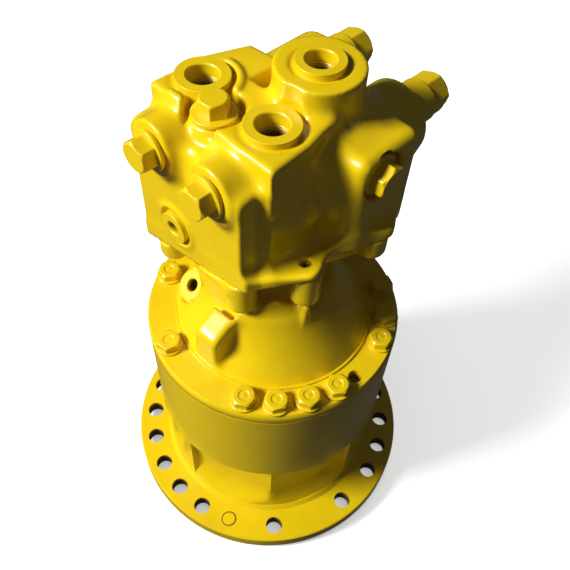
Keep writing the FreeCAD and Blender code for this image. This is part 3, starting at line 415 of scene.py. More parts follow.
# %% Soft joins of distance fields
def melt(first, second, fillet):
    """Two bodies as one: the smaller distance, less (f - |a - b|)^2 / 4f where both are nearer than f."""
    near = np.maximum(fillet - np.abs(first - second), 0.0)
    return np.minimum(first, second) - near * near / (4.0 * fillet)


def shared(first, second, edge):
    """What lies in both bodies, its new edge rounded: a melt of the two outsides."""
    return -melt(-first, -second, edge)


def carve(body, tool, edge):
    """A body without a tool's shape: what lies in the body and outside the tool."""
    return shared(body, -tool, edge)


def soft_corner(first, second, edge):
    """Distance to a corner of two faces, rounded: length of the outside parts, or the larger inside."""
    a, b = first + edge, second + edge
    return np.hypot(np.maximum(a, 0), np.maximum(b, 0)) + np.minimum(np.maximum(a, b), 0) - edge


def bar(points, start, way, length, radius, edge=1.0):
    """Round bar from a start along a unit way: radial and end distances meet in a soft corner."""
    rel = points - np.asarray(start, float)
    along = rel @ way
    radial = np.sqrt(np.maximum((rel * rel).sum(-1) - along * along, 0.0))
    return soft_corner(radial - radius, np.abs(along - length / 2) - length / 2, edge)


def block(points, low, high, edge):
    """Box between two corners with all its edges rounded: |p - middle| - half size + edge."""
    low, high = np.asarray(low, float), np.asarray(high, float)
    away = np.abs(points - (low + high) / 2) - (high - low) / 2 + edge
    return np.linalg.norm(np.maximum(away, 0), axis=-1) + np.minimum(away.max(-1), 0) - edge


def outline(points, corners):
    """Distance in plan to a closed outline: the nearest edge's, negative where the outline winds round."""
    corners = np.asarray(corners, float)
    x, y = points[..., 0], points[..., 1]
    nearest = np.full(x.shape, np.inf)
    sign = np.ones(x.shape)
    for (ax, ay), (bx, by) in zip(corners, np.roll(corners, -1, axis=0)):
        ex, ey, wx, wy = bx - ax, by - ay, x - ax, y - ay
        share = np.clip((wx * ex + wy * ey) / (ex * ex + ey * ey), 0, 1)
        nearest = np.minimum(nearest, (wx - ex * share) ** 2 + (wy - ey * share) ** 2)
        left = ex * wy > ey * wx
        flip = ((y >= ay) & (y < by) & left) | ((y < ay) & (y >= by) & ~left)
        sign = np.where(flip, -sign, sign)
    return sign * np.sqrt(nearest)


def standing(points, corners, low, high, edge):
    """Upright body over an outline between two heights, edges rounded."""
    z = points[..., 2]
    return soft_corner(outline(points, corners), np.abs(z - (low + high) / 2) - (high - low) / 2, edge)


def above_seat(points):
    """Distance above the tilted seat of the port block, along the bent axis."""
    return (points - BALL_CENTRE) @ BENT_AXIS - SEAT_DISTANCE


print("melt of two faces 2 mm away with an 8 mm fillet:", melt(np.float64(2.0), np.float64(2.0), 8.0))

# %% [markdown]
# ## From field to mesh
# The zero surface is found cell by cell: a cell whose corners differ in sign gets one
# point, at the mean of its edge crossings, and every grid edge that crosses the surface
# gets the quad of the four cells round it. All of it is array work on the whole grid.
# Afterwards each point slides to the middle of its neighbours and is pulled back onto the
# surface along the field's slope, which evens the mesh out.


# %% Draw the zero surface
def crossings(value, axis):
    """Where the field changes sign between neighbours along an axis, and the share of the way to it."""
    here, there = np.moveaxis(value, axis, 0)[:-1], np.moveaxis(value, axis, 0)[1:]
    change = (here < 0) != (there < 0)
    share = np.where(change, here / np.where(change, here - there, 1.0), 0.0)
    return np.moveaxis(change, 0, axis), np.moveaxis(share, 0, axis)


def zero_surface(field, low, high, cell):
    """Points and quads of the surface where field is zero, inside a box."""
    axes = [np.arange(a, b + cell, cell) for a, b in zip(low, high)]
    grid = np.stack(np.meshgrid(*axes, indexing="ij"), -1)
    value = field(grid)
    cells = tuple(n - 1 for n in value.shape)
    total, count = np.zeros(cells + (3,)), np.zeros(cells)
    crossed = []
    for axis in range(3):
        change, share = crossings(value, axis)
        crossed.append(change)
        size = np.array(change.shape)
        for i in (0, 1):
            for j in (0, 1):
                shift = np.insert(np.array((i, j)), axis, 0)
                part = tuple(slice(s, s + n) for s, n in zip(shift, cells))
                hit = change[part]
                place = np.broadcast_to(shift.astype(float), cells + (3,)).copy()
                place[..., axis] = share[part]
                total += place * hit[..., None]
                count += hit
    active = count > 0
    index = np.full(cells, -1)
    index[active] = np.arange(active.sum())
    corner = np.stack(np.nonzero(active), -1)
    points = np.array(low) + cell * (corner + total[active] / count[active][:, None])
    return points, cell_quads(value, crossed, index)


def cell_quads(value, crossed, index):
    """The four cells round each crossing edge, in the order that turns the face outwards."""
    quads = []
    for axis in range(3):
        b, c = (axis + 1) % 3, (axis + 2) % 3
        inner = [slice(None)] * 3
        inner[b] = inner[c] = slice(1, -1)
        where = np.stack(np.nonzero(crossed[axis][tuple(inner)]), -1)
        where[:, b] += 1
        where[:, c] += 1
        step_b, step_c = np.eye(3, dtype=int)[b], np.eye(3, dtype=int)[c]
        ring = [where - step_b - step_c, where - step_c, where, where - step_b]
        quad = np.stack([index[tuple(r.T)] for r in ring], -1)
        outwards = value[tuple(where.T)] < 0
        quads.append(np.where(outwards[:, None], quad, quad[:, ::-1]))
    return np.concatenate(quads)


def slope(field, points, step=0.25):
    """Unit gradient of a field by central differences."""
    parts = [field(points + step * e) - field(points - step * e) for e in np.eye(3)]
    grad = np.stack(parts, -1)
    return grad / np.maximum(np.linalg.norm(grad, axis=-1, keepdims=True), 1e-9)


def evened(field, points, quads, rounds, share=0.5):
    """Slides points towards the mean of their neighbours, then back onto the surface."""
    ends = np.concatenate([quads[:, (i, (i + 1) % 4)] for i in range(4)])
    for _ in range(rounds):
        mean, count = np.zeros_like(points), np.zeros(len(points))
        for a, b in (ends.T, ends.T[::-1]):
            for k in range(3):
                mean[:, k] += np.bincount(a, points[b, k], len(points))
            count += np.bincount(a, minlength=len(points))
        points = points + share * (mean / count[:, None] - points)
        points = points - field(points)[:, None] * slope(field, points)
    return points


def settle(name, mesh):
    """An object of a mesh, linked to the scene and riding on the case."""
    piece = bpy.data.objects.new(name, mesh)
    bpy.context.scene.collection.objects.link(piece)
    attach(piece, "case")
    return piece


def make_piece(name, points, faces, finish):
    """Puts arrays into a smooth mesh object in metres."""
    mesh = bpy.data.meshes.new(name)
    mesh.vertices.add(len(points))
    mesh.vertices.foreach_set("co", (np.asarray(points) * MM).ravel())
    mesh.loops.add(faces.size)
    mesh.loops.foreach_set("vertex_index", faces.ravel().astype(np.int32))
    mesh.polygons.add(len(faces))
    mesh.polygons.foreach_set("loop_start", np.arange(0, faces.size, faces.shape[1], dtype=np.int32))
    mesh.update(calc_edges=True)
    mesh.materials.append(finish)
    mesh.shade_smooth()
    return settle(name, mesh)


def cast(name, field, low, high, cell):
    """A casting: its field's zero surface, evened out and painted."""
    points, quads = zero_surface(field, low, high, cell * (1.0))
    points = evened(field, points, quads, 2)
    print(name, len(quads), "faces")
    return make_piece(name, points, quads, cast_paint)


print("surface tools ready")

# %% [markdown]
# ## The port block
# This is the heart of the likeness. A blocky body with a sloped brow carries a flat deck
# with two work ports, a tall round boss for the tank port, two bosses for the make-up
# plugs in front with a valley between them, a pad with a sunk plug on the right, and the
# two long barrels of the relief valves behind. It stands on a ledge that follows the
# screw lobes below.

# %% Port block sizes
WORK_PORTS = ((-73.3, -9.0), (-0.9, -9.0))
DECK, PORT_FACE, PORT_RIM = 456.0, 460.0, 21.0
TANK, TANK_TOP, TANK_FACE, TANK_RIM = (-11.0, 46.5), 476.0, 480.0, 19.0
CHECKS, CHECK_HEIGHT, FRONT = (-67.0, -5.0), 427.0, -62.0
TOP_PLUG, TOP_PLUG_SEAT = (-44.0, -24.0), 448.0
SIDE_PLUG, SIDE_SEAT = (47.0, 417.0), 52.0
RELIEFS, RELIEF_HEIGHT, RELIEF_END = (-77.0, 8.0), 400.0, 126.0
GAUGE = (-51.0, 355.0)
LEDGE, LEDGE_WALL = 7.5, 14.5
SCREW_HOLE, UNDER_PAD, OPEN_ABOVE = 4.6, 30.0, 14.0
BODY_LOW, BODY_HIGH, DECK_LOW = 228.0, 437.0, 415.0
RIGHT_FACE, LEFT_FACE, BACK_FACE = 31.0, -96.0, 62.0
TANK_BOSS, RELIEF_BOSS, CHECK_BOSS, GAUGE_BOSS, TOP_BOSS = 34.0, 32.0, 22.0, 20.0, 18.0
RIM_GAP, RIM_WALL, CUT = 3.5, 3.0, 60.0


def ledge_outline(points):
    """The lobes' outline grown by a wall, scooped between the front and side lobes."""
    plate = outline(points, LOBES) - LEDGE_WALL
    scoop = 34.0 - np.hypot(points[..., 0] - 83.0, points[..., 1] - 15.0)
    return shared(plate, scoop, 10.0)


def block_body(points):
    """Body, brow, deck and pads of the port block, before anything is bored."""
    x, y, z = points[..., 0], points[..., 1], points[..., 2]
    plan = ((LEFT_FACE, FRONT), (23, FRONT), (24.5, -47), (RIGHT_FACE, -39), (RIGHT_FACE, BACK_FACE),
            (LEFT_FACE, BACK_FACE))
    body = standing(points, plan, BODY_LOW, BODY_HIGH, 5)
    brow = (z - DECK - (y + 40.0)) / math.sqrt(2.0)
    body = shared(body, brow, 8.0)
    plan = ((LEFT_FACE, -40), (RIGHT_FACE, -40), (29, 0), (22, 30), (-50, 18), (-50, 50), (-82, 46), (LEFT_FACE, 8))
    deck = standing(points, plan, DECK_LOW, DECK, 3.5)
    body = melt(body, deck, 6.0)
    pocket = standing(points, ((-47, 20), (-14, 12), (-20, 70), (-47, 70)), 400, 500, 5)
    body = carve(body, pocket, 5.0)
    body = melt(body, bar(points, TANK + (400.0,), UP, TANK_TOP - 400, TANK_BOSS, 1.2), 10.0)
    ledge = shared(ledge_outline(points), np.abs(above_seat(points) - LEDGE / 2) - LEDGE / 2, 3.0)
    body = shared(melt(body, ledge, 20.0), FRONT - y, 1.5)
    for px in RELIEFS:
        body = melt(body, bar(points, (px, 0, RELIEF_HEIGHT), BACK, RELIEF_END, RELIEF_BOSS, 2.5), 12.0)
    web = block(points, (RELIEFS[0] - 28, 18, 357), (RELIEFS[1] + 28, RELIEF_END - 2, RELIEF_HEIGHT), 6.0)
    body = melt(body, web, 10.0)
    return body


def block_field(points):
    """The whole port block: body, pads and bosses melted on, seats and rooms carved out."""
    body = block_body(points)
    pad = block(points, (-10, 22, 290), (60, 86, 440), 9.0)
    body = melt(body, pad, 20.0)
    for px in CHECKS:
        body = melt(body, bar(points, (px, FRONT - 2, CHECK_HEIGHT), BACK, 42.0, CHECK_BOSS, 1.5), 9.0)
    middle = (CHECKS[0] + CHECKS[1]) / 2
    valley_way = np.array((0.0, 0.18, 1.0)) / math.hypot(0.18, 1.0)
    body = carve(body, bar(points, (middle, FRONT - 8, 398.0), valley_way, 60.0, 10.0, 9.0), 9.0)
    body = melt(body, bar(points, (GAUGE[0], FRONT - 1.5, GAUGE[1]), BACK, 20.0, GAUGE_BOSS, 2.0), 5.0)
    body = melt(body, bar(points, TOP_PLUG + (380.0,), UP, TOP_PLUG_SEAT - 380, TOP_BOSS, 1.2), 6.0)
    rim = bar(points, WORK_PORTS[0] + (DECK - 12,), UP, 14.5, PORT_RIM + 9.0, 1.5)
    body = melt(body, shared(rim, -78.0 - points[..., 0], 2.0), 3.0)
    for px, py in WORK_PORTS:
        body = carve(body, bar(points, (px, py, DECK - 1.2), UP, CUT, PORT_RIM + RIM_GAP), 1.0)
        body = carve(body, bar(points, (px, py, 425.0), UP, CUT, PORT_RIM - RIM_WALL), 0.5)
    body = carve(body, bar(points, TOP_PLUG + (TOP_PLUG_SEAT - 3.5,), UP, CUT, TOP_BOSS + 4), 3.0)
    body = melt(body, bar(points, TOP_PLUG + (TOP_PLUG_SEAT - 24,), UP, 24.0, TOP_BOSS, 1.0), 1.5)
    body = carve(body, bar(points, TANK + (TANK_TOP - 1.5,), UP, CUT, TANK_RIM + RIM_GAP), 0.8)
    body = carve(body, bar(points, TANK + (450.0,), UP, CUT, TANK_RIM - RIM_WALL), 0.5)
    body = carve(body, bar(points, (SIDE_SEAT,) + SIDE_PLUG, RIGHT, CUT, 20.0), 1.0)
    body = carve(body, bar(points, (GAUGE[0], FRONT + 1.5, GAUGE[1]), -BACK, 30.0, 17.0), 1.0)
    body = carve(body, bar(points, (GAUGE[0], FRONT + 20, GAUGE[1]), -BACK, CUT, 12.0), 0.5)
    for number in SCREW_LOBES:
        hole = on_seat(LOBES[number]) + BENT_AXIS * (LEDGE - 5.0)
        tall = UNDER_PAD if number == 1 else OPEN_ABOVE
        body = carve(body, bar(points, hole, BENT_AXIS, tall, SCREW_HOLE), 0.8)
    return shared(body, -above_seat(points), 1.0)


block_casting = cast("port_block_casting", block_field, (-126, -72, 296), (78, 132, 482), 2.3)
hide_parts("valve_block")

# %% [markdown]
# ## The motor housing
# Below the block the housing narrows to a leaning neck, with a collar and eight lobes
# under the seat, and spreads down to a cone that stands on the bolted ring. Between the
# two front lobes the cone's shoulder rises in an arch, and a rib ties the right one of
# them to the cone. The slanted boss on the left takes the brake line, and the square lug
# beside it is a cast stop. All of it is one field, because each form flows into the next.

# %% Housing sizes
RING_TOP, STEP_TOP = 242.0, 244.0
CONE_LOW, CONE_HIGH, CONE_TOP = 88.0, 50.0, 296.0
BRAKE_PORT = np.array((-56.0, -50.5, 262.0))
BRAKE_WAY = np.array((-0.11162, -0.63302, 0.76604))
LUG_TURN = math.radians(-86)
LUG_WAY = np.array((math.cos(LUG_TURN), math.sin(LUG_TURN), 0.0))
LUG_ACROSS = np.array((-math.sin(LUG_TURN), math.cos(LUG_TURN), 0.0))
LUG_WIDTH, LUG_REACH, LUG_TOP = 25.0, 88.0, 283.0
LUG_LOW, LUG_DEPTH = 249.0, 24.0
NECK, SHOULDER, LOBE = 56.5, 66.0, 13.0
ARCH_TOP, ARCH_MIDDLE, ARCH_FALLS, ARCH_ROUND = 313.0, -32.0, (0.72, 1.15), 5.0
ARCH_END, END_FALL = 27.0, 3.0


def housing_field(points):
    """Cone with its arched shoulder, neck, collar, lobes, rib, lug and brake boss, cut off flat at the seat."""
    z = points[..., 2]
    radius = np.hypot(points[..., 0], points[..., 1])
    run = CONE_TOP - STEP_TOP
    slant = math.atan2(CONE_LOW - CONE_HIGH, run)
    cone = (radius - CONE_LOW - 0.4 + (z - STEP_TOP) * (CONE_LOW - CONE_HIGH) / run) * math.cos(slant)
    cone = soft_corner(cone, np.abs(z - 266.0) - 30.0, 4.0)
    neck = bar(points, BALL_CENTRE, BENT_AXIS, SEAT_DISTANCE + 5, NECK, 1.0)
    shoulder = bar(points, BALL_CENTRE, BENT_AXIS, SEAT_DISTANCE - 10, SHOULDER, 1.0)
    turn = np.degrees(np.arctan2(points[..., 1], points[..., 0] + (z - BALL_CENTRE[2]) * math.tan(BEND)))
    aside = turn - ARCH_MIDDLE
    fall = np.where(aside < 0, *ARCH_FALLS) * (np.hypot(aside, ARCH_ROUND) - ARCH_ROUND)
    rim = ARCH_TOP - fall - END_FALL * np.maximum(-aside - ARCH_END, 0.0)
    body = melt(melt(cone, shared(shoulder, (z - rim) * 0.75, 1.5), 16.0), neck, 2.5)
    inset = 1.0 + 8.0 * np.clip((34.0 - points[..., 1]) / 26.0, 0, 1)
    collar = shared(outline(points, LOBES) + inset, np.abs(above_seat(points) + 8.0) - 9.0, 3.0)
    body = melt(body, collar, 6.0)
    for index, (lx, ly) in enumerate(LOBES):
        tall = 34.0 if index < 2 else 20.0
        body = melt(body, bar(points, (lx, ly, seat_height(lx) - tall), UP, tall + 6, LOBE, 6.0), 3.0)
    body = melt(body, bar(points, (13, -54, 327), np.array((-0.997, 0, 0.077)), 40.0, 10.0, 4.0), 6.0)
    lx, ly = LOBES[1]
    away = np.array((lx, ly, 0.0)) / math.hypot(lx, ly)
    across = np.array((-away[1], away[0], 0.0))
    rib = np.maximum(np.abs(points @ across) - 3.0, np.abs(points @ away - 31.0) - 26.0)
    rib = soft_corner(rib, np.abs(z - 274.0) - 34.0, 2.0)
    body = melt(body, rib, 5.0)
    reach = points @ LUG_WAY - LUG_REACH
    lug = shared(np.abs(points @ LUG_ACROSS) - LUG_WIDTH / 2, reach, 5.0)
    lug = shared(lug, shared(z + 0.5 * reach - LUG_TOP, LUG_LOW - z, 3.0), 6.0)
    body = melt(body, np.maximum(lug, -LUG_DEPTH - reach), 8.0)
    body = melt(body, bar(points, BRAKE_PORT - BRAKE_WAY * 32, BRAKE_WAY, 26.0, 18.5, 3.0), 10.0)
    body = melt(body, bar(points, BRAKE_PORT - BRAKE_WAY * 30, BRAKE_WAY, 26.0, 17.6, 1.0), 2.0)
    body = carve(body, bar(points, BRAKE_PORT - BRAKE_WAY * 4.0, BRAKE_WAY, CUT, 17.0), 0.6)
    body = carve(body, bar(points, BRAKE_PORT - BRAKE_WAY * 17, BRAKE_WAY, CUT, 11.0), 0.5)
    return shared(body, above_seat(points), 0.8)


housing_casting = cast("housing_casting", housing_field, (-128, -96, 234), (94, 96, 354), 2.2)

# %% [markdown]
# ## The foot's cove
# Two flat sides under the drum give room for the flange bolts. On the real casting they
# swell out to the round base in a wide cove, so the ridge between them fades away at the
# bottom. A thin skin laid over the flats does this.


# %% Foot cove
FLATS = [(math.radians(angle), radius) for angle, radius in ((-89.0, 106.0), (-43.0, 109.0), (3.0, 106.0))]
COVE_LOW, COVE_RISE, COVE_REACH = 20.0, 36.0, 13.0
FOOT_RADIUS, INNER_RADIUS = 112.7, 94.0


def foot_field(points):
    """Distance to two upright planes, moved out by the reach times (1 - height)^2, cut by the round base."""
    z = points[..., 2]
    corners = [np.array((math.cos(turn), math.sin(turn))) * radius for turn, radius in FLATS]
    sides = []
    for start, end in zip(corners, corners[1:]):
        along = (end - start) / np.linalg.norm(end - start)
        outward = np.array((along[1], -along[0]))
        sides.append((points[..., :2] - start) @ outward)
    cove = COVE_REACH * np.clip(1 - (z - COVE_LOW) / COVE_RISE, 0, 1) ** 2
    swell = cove + 0.4 - np.clip((z - 52.0) / 14.0, 0, 1)
    radius = np.hypot(points[..., 0], points[..., 1])
    skin = shared(shared(sides[0], sides[1], 4.0) - swell, radius - FOOT_RADIUS, 3.0)
    return np.maximum(np.maximum(skin, INNER_RADIUS - radius), np.abs(z - 44.0) - 25.0)


cast("foot_cove", foot_field, (-34, -118, 16), (118, 34, 72), 2.0)

# %% [markdown]
# ## Turned faces and threaded ports
# Whatever was turned on a lathe is a profile swept round an axis. A port is a ring with a
# flat face, a chamfer and a thread. The thread is the same sweep, only the radius waves
# with height and angle together, which makes a true helix.


# %% Sweep a profile round an axis
WELD = 0.5e-5


def softened(corners, radius, steps=4):
    """A profile with each inner corner replaced by a small arc: a quadratic curve between two trimmed sides."""
    corners = np.asarray(corners, float)
    out = [corners[0]]
    for before, at, after in zip(corners[:-2], corners[1:-1], corners[2:]):
        back, ahead = before - at, after - at
        room = min(np.linalg.norm(back), np.linalg.norm(ahead)) * 0.45
        trim = min(radius, room)
        start, end = at + back / np.linalg.norm(back) * trim, at + ahead / np.linalg.norm(ahead) * trim
        share = np.linspace(0, 1, steps + 1)[:, None]
        guard = min(trim * 1.35, room * 1.1)
        out.append(at + back / np.linalg.norm(back) * guard)
        out.extend((1 - share) ** 2 * start + 2 * share * (1 - share) * at + share ** 2 * end)
        out.append(at + ahead / np.linalg.norm(ahead) * guard)
    out.append(corners[-1])
    return np.array(out)


def side_ways(axis):
    """Two unit directions square to an axis and to each other."""
    axis = np.asarray(axis, float)
    first = np.cross(axis, UP if abs(axis[2]) < 0.9 else RIGHT)
    first /= np.linalg.norm(first)
    return first, np.cross(axis, first)


def swept(profile, origin, axis, turns=72, flats=0.0, turn=0.0):
    """Rings of a profile of (radius, height) about an axis. With flats, no ring passes a hexagon of that width."""
    profile = np.asarray(profile, float)
    angle = np.arange(turns) * 2 * math.pi / turns
    radius = np.repeat(profile[:, :1], turns, 1)
    if flats:
        off = (angle + math.pi / 6) % (math.pi / 3) - math.pi / 6
        radius = np.minimum(radius, (flats / 2) / np.cos(off)[None, :])
    return rings(radius, profile[:, 1], origin, axis, angle + turn)


def rings(radius, height, origin, axis, angle):
    """Closed quads over rings: point = origin + r (cos a, sin a) across + h along. First and last ring are capped."""
    first, second = side_ways(axis)
    height = np.broadcast_to(np.asarray(height, float)[:, None] if np.ndim(height) == 1 else height, radius.shape)
    points = (np.asarray(origin, float) + radius[..., None] * (np.cos(angle)[None, :, None] * first
              + np.sin(angle)[None, :, None] * second) + height[..., None] * np.asarray(axis, float))
    rows, columns = radius.shape
    row, column = np.meshgrid(np.arange(rows - 1), np.arange(columns), indexing="ij")
    after = (column + 1) % columns
    quads = np.stack([row * columns + column, row * columns + after, (row + 1) * columns + after,
                      (row + 1) * columns + column], -1).reshape(-1, 4)
    return points.reshape(-1, 3), quads


def joined(parts):
    """Several (points, quads) as one."""
    starts = np.cumsum([0] + [len(p) for p, _ in parts[:-1]])
    return np.concatenate([p for p, _ in parts]), np.concatenate([q + s for (_, q), s in zip(parts, starts)])


def shade_bores(piece, bores):
    """Writes how deep each corner lies inside a hole: 0 at the mouth, 1 at full depth, smooth between."""
    place = np.empty(len(piece.data.vertices) * 3, np.float32)
    piece.data.vertices.foreach_get("co", place)
    place = place.reshape(-1, 3) / MM
    deep = np.zeros(len(place))
    for origin, axis, radius, start, full in bores:
        axis = np.asarray(axis, float)
        inward = (np.asarray(origin, float) - place) @ axis
        off = np.linalg.norm(np.cross(place - np.asarray(origin, float), axis), axis=1)
        share = np.clip((inward - start) / (full - start), 0, 1)
        deep = np.maximum(deep, np.where(off < radius, share * share * (3 - 2 * share), 0))
    piece.data.attributes.new("bore", "FLOAT", "POINT").data.foreach_set("value", deep.astype(np.float32))


def closed_piece(name, parts, finish):
    """Joins parts, closes their poles and seams, and keeps flats flat with weighted normals."""
    points, quads = joined(parts)
    piece = make_piece(name, points, quads, finish)
    work = bmesh.new()
    work.from_mesh(piece.data)
    bmesh.ops.remove_doubles(work, verts=work.verts, dist=WELD)
    bmesh.ops.recalc_face_normals(work, faces=work.faces)
    work.to_mesh(piece.data)
    work.free()
    piece.data.shade_smooth()
    even = piece.modifiers.new("flat faces stay flat", "WEIGHTED_NORMAL")
    even.mode = "FACE_AREA"
    even.weight = 60
    return piece


print("rings of a unit sweep:", swept(((0, 0), (1, 0), (1, 1), (0, 1)), (0, 0, 0), UP, 8)[0].shape)


# %% Ports
SIDES = 72
WIDE_THREAD, NARROW_THREAD = (24.0, 1.81), (16.0, 1.34)
WIDE_SHADE, NARROW_SHADE = (8.0, 20.0), (1.5, 6.0)


def port(origin, axis, rim, bore, threaded, root):
    """A port: outer wall, flat face, chamfer, plain mouth, helical thread, drill point. Closed all round."""
    depth, pitch = threaded
    chamfer, mouth = 1.0, depth * 0.36
    lead_in = softened(((0.001, -root), (rim, -root), (rim, 0), (bore + chamfer, 0), (bore, -chamfer),
                        (bore, -mouth)), 0.5)
    angle = np.arange(SIDES) * 2 * math.pi / SIDES
    height = np.arange(-mouth, -depth, -pitch / 6)
    wave = np.abs(((height[:, None] / pitch - angle[None, :] / (2 * math.pi)) % 1.0) * 2 - 1)
    fade = np.clip((-mouth - height) / pitch, 0, 1)[:, None]
    thread = bore + pitch * 0.5 * wave * fade
    bottom = np.array(((bore, -depth), (bore * 0.72, -depth), (bore * 0.66, -depth - 4), (0.001, -depth - 4)))
    radius = np.concatenate([np.repeat(lead_in[:, :1], SIDES, 1), thread, np.repeat(bottom[:, :1], SIDES, 1)])
    heights = np.concatenate([lead_in[:, 1], height, bottom[:, 1]])
    return rings(radius, heights, origin, axis, angle)


def ports(name, places, axis, rim, bore, threaded, root, shade):
    """One piece of ports that are alike. Shade: the depths where a bore starts to darken and where it is dark."""
    piece = closed_piece(name, [port(place, axis, rim, bore, threaded, root) for place in places], turned_paint)
    shade_bores(piece, [(place, axis, bore + 1.8, *shade) for place in places])


work_faces = [place + (PORT_FACE,) for place in WORK_PORTS]
ports("work_ports", work_faces, UP, PORT_RIM, 12.1, WIDE_THREAD, 34.0, WIDE_SHADE)
ports("tank_port", [TANK + (TANK_FACE,)], UP, TANK_RIM, 11.2, WIDE_THREAD, 32.0, WIDE_SHADE)
ports("gauge_port", [(GAUGE[0], FRONT - 4, GAUGE[1])], -BACK, 14.0, 5.9, NARROW_THREAD, 26.0, NARROW_SHADE)
ports("brake_port", [BRAKE_PORT], BRAKE_WAY, 14.0, 5.75, NARROW_THREAD, 24.0, NARROW_SHADE)
print("five ports")

# %% [markdown]
# ## The bolted ring
# The housing ends in a turned ring that matches the drum below. It is already exact in
# the frame, with its row of bolt holes, one of them left open. So the ring is a copy of
# the frame's housing, cut off flat just under the cone.


# %% Copies of CAD nodes
SAME_CORNER = 1e-6
SPARE_HOLE = math.radians(359.0)
RING_BOLT_CIRCLE = 103.75


def merged_copy(name, node_name):
    """A copy of a node's mesh, and the same mesh open for work with its loose triangles joined."""
    mesh = frame["nodes"][node_name].data.copy()
    mesh.name = name
    work = bmesh.new()
    work.from_mesh(mesh)
    bmesh.ops.remove_doubles(work, verts=work.verts, dist=SAME_CORNER)
    return mesh, work


def kept_below(name, node_name, height, finish):
    """A copy of a node's mesh cut by a level plane, the part above thrown away and the cut closed."""
    mesh, work = merged_copy(name, node_name)
    everything = work.verts[:] + work.edges[:] + work.faces[:]
    cut = bmesh.ops.bisect_plane(work, geom=everything, plane_co=(0, 0, height * MM), plane_no=(0, 0, 1),
                                 clear_outer=True)["geom_cut"]
    edges = [part for part in cut if isinstance(part, bmesh.types.BMEdge)]
    bmesh.ops.triangle_fill(work, use_beauty=True, edges=edges, normal=(0, 0, 1))
    bmesh.ops.recalc_face_normals(work, faces=work.faces)
    work.to_mesh(mesh)
    work.free()
    mesh.materials.clear()
    mesh.materials.append(finish)
    return settle(name, mesh)


ring = kept_below("bolted_ring", "motor_housing", STEP_TOP + 1.0, turned_paint)
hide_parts("motor_housing")
spare = (RING_BOLT_CIRCLE * math.cos(SPARE_HOLE), RING_BOLT_CIRCLE * math.sin(SPARE_HOLE), RING_TOP)
shade_bores(ring, [(spare, UP, 6.5, 0.5, 5.0)])
screw_mouths = [on_seat(lobe) + BENT_AXIS * (LEDGE - 0.5) for lobe in LOBES]
shade_bores(block_casting, [(mouth, BENT_AXIS, 5.2, 0.8, 3.5) for mouth in screw_mouths])
print("ring faces", len(ring.data.polygons))

# %% [markdown]
# ## Plugs, screws and cartridges
# A hexagon head is a round profile that no ring may carry past six flats. Where the
# round chamfer is narrower than the hexagon the chamfer shows, and where it is wider the
# flat does, so the curved scallops at the corners come out by themselves. Collars,
# washers and dimples are parts of the same profile.


# %% Heads and collars
def hex_plug(name, face, axis, stem, turn=0.0, flats=24.0):
    """Check, top and side plugs: stem, sealing collar with a rounded rim, chamfered head."""
    collar = [(0.001, -14.0), (stem, -14.0), (stem, 1.4), (17.0, 1.4), (17.0, 4.4), (13.0, 4.6), (0.001, 4.6)]
    corner = flats / math.sqrt(3)
    head = [(0.001, 3.0), (corner, 3.0), (corner, 14.6), (flats / 2 - 0.6, 16.9), (0.001, 16.9)]
    parts = [swept(softened(collar, 0.9), face, axis), swept(softened(head, 0.7), face, axis, 96, flats, turn)]
    piece = closed_piece(name, parts, turned_paint)
    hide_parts(name)


for side, px, turn in (("a", CHECKS[0], 0.18), ("b", CHECKS[1], 0.42)):
    hex_plug("check_plug_" + side, (px, FRONT - 2.0, CHECK_HEIGHT), -BACK, 9.98, turn)
hex_plug("top_plug", TOP_PLUG + (TOP_PLUG_SEAT,), UP, 8.98, 0.1, 21.0)
hex_plug("side_plug", (SIDE_SEAT,) + SIDE_PLUG, RIGHT, 7.98, 0.0)
print("four plugs")


# %% Bolts round the ring
WASHER, HEAD_ACROSS, HEAD_TURN = 2.5, 19.0, 1.7
RING_BOLT_ANGLES = (23.0, 38.5, 57.5, 92.0, 107.0, 122.0, 152.0, 178.0, 208.5, 253.0, 302.0, 317.25, 332.5, 347.5)
bolt_parts, washer_parts = [], []
for degrees in RING_BOLT_ANGLES:
    way = np.array((math.cos(math.radians(degrees)), math.sin(math.radians(degrees)), 0.0))
    seat = RING_BOLT_CIRCLE * way + UP * (RING_TOP + WASHER)
    shank = [(0.001, -37.9), (5.2, -37.9), (6.0, -36.9), (6.0, 0.6), (0.001, 0.6)]
    head = [(0.001, 0.0), (11.0, 0.0), (11.0, 6.1), (8.7, 7.5), (4.9, 7.5), (4.3, 6.8), (2.0, 6.8), (1.6, 7.0),
            (0.001, 7.0)]
    bolt_parts.append(swept(softened(shank, 0.4), seat, UP, 36))
    bolt_parts.append(swept(softened(head, 0.5, 3), seat, UP, 60, HEAD_ACROSS, math.radians(degrees * HEAD_TURN)))
    washer = [(6.6, 0.0), (11.6, 0.0), (12.0, 0.4), (12.0, 2.0), (11.5, 2.48), (6.6, 2.48), (6.6, 0.0)]
    washer_parts.append(swept(softened(washer, 0.3, 2), seat - UP * WASHER, UP, 48))
bolts = closed_piece("ring_bolts", bolt_parts, turned_paint)
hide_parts("ring_bolts")
washers = closed_piece("ring_washers", washer_parts, turned_paint)
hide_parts("ring_washers")
print("bolts", len(RING_BOLT_ANGLES))

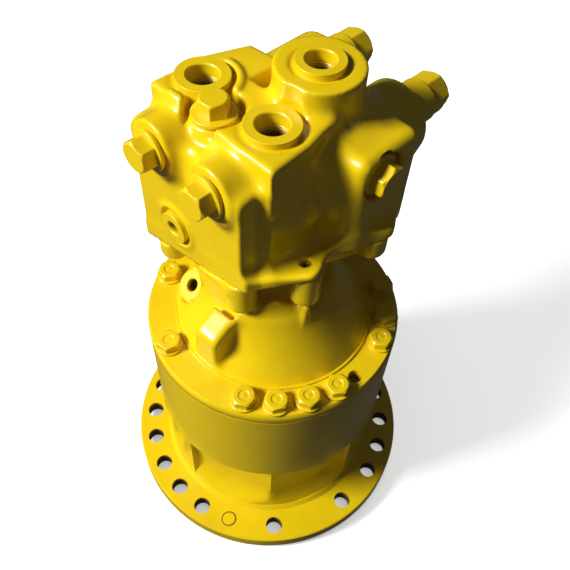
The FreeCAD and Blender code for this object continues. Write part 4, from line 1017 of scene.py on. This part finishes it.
# %% Sunk block screws
screw_parts = []
for number in SCREW_LOBES:
    seat = on_seat(LOBES[number]) - BENT_AXIS * 1.5
    shank = [(0.001, -20.9), (4.4, -20.9), (5.0, -20.0), (5.0, 0.5), (0.001, 0.5)]
    socket = [(0.001, 0.0), (8.0, 0.0), (8.0, 5.2), (7.4, 5.8), (4.7, 5.8), (4.4, 5.2), (4.4, 1.8), (0.001, 1.4)]
    screw_parts.append(swept(softened(shank, 0.4), seat, BENT_AXIS, 36))
    screw_parts.append(swept(softened(socket, 0.3, 2), seat, BENT_AXIS, 48))
screws = closed_piece("block_screws", screw_parts, turned_paint)
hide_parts("block_screws")
print("screws", len(SCREW_LOBES))

# %% Relief cartridges
for side, px in zip("ab", RELIEFS):
    start = (px, RELIEF_END, RELIEF_HEIGHT)
    barrel = [(0.001, -73.0), (13.9, -73.0), (13.9, 0.1), (20.0, 0.1), (20.0, 9.0), (19.2, 10.0), (19.2, 28.5),
              (17.5, 30.0), (0.001, 30.0)]
    head = [(0.001, 28.0), (18.4, 28.0), (18.4, 47.2), (15.2, 49.9), (13.4, 50.0), (12.4, 51.9), (0.001, 51.9)]
    parts = [swept(softened(barrel, 0.8), start, BACK), swept(softened(head, 0.8), start, BACK, 96, 32.0, 0.26)]
    cartridge = closed_piece("relief_body_" + side, parts, turned_paint)
    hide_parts("relief_body_" + side)
print("two cartridges")

# %% [markdown]
# ## The springs
# Six sets of springs hold the valves and the brake shut. When a valve lifts, its spring
# gets shorter by the same travel while its far end stays put. Here each coil is copied,
# its loose triangles joined and its faces smoothed, and its length along its axis is measured.


# %% Springs
def giving_spring(name, node_name, way):
    """A smooth copy of a coil in place of its node, riding on the case; returns the coil's length along a way, in mm.
    """
    mesh, work = merged_copy(name, node_name)
    work.to_mesh(mesh)
    work.free()
    mesh.shade_smooth()
    piece = settle(name, mesh)
    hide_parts(node_name)
    low, high = (np.array(corner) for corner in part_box(node_name))
    way = np.array(way, float)
    length = abs(float((high - low) @ way))
    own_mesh(piece)
    return length / MM


lengths = [giving_spring("brake_coils", "brake_springs", (0, 0, 1)),
           giving_spring("shuttle_coil", "shuttle_spring", (1, 0, 0))]
for side in "ab":
    for valve, way, travel in (("relief", (0, 1, 0), 3.0), ("check", (0, -1, 0), 4.0)):
        coil, node_name = "%s_coil_%s" % (valve, side), "%s_spring_%s" % (valve, side)
        lengths.append(giving_spring(coil, node_name, way))
print("spring lengths", [round(length, 1) for length in lengths])
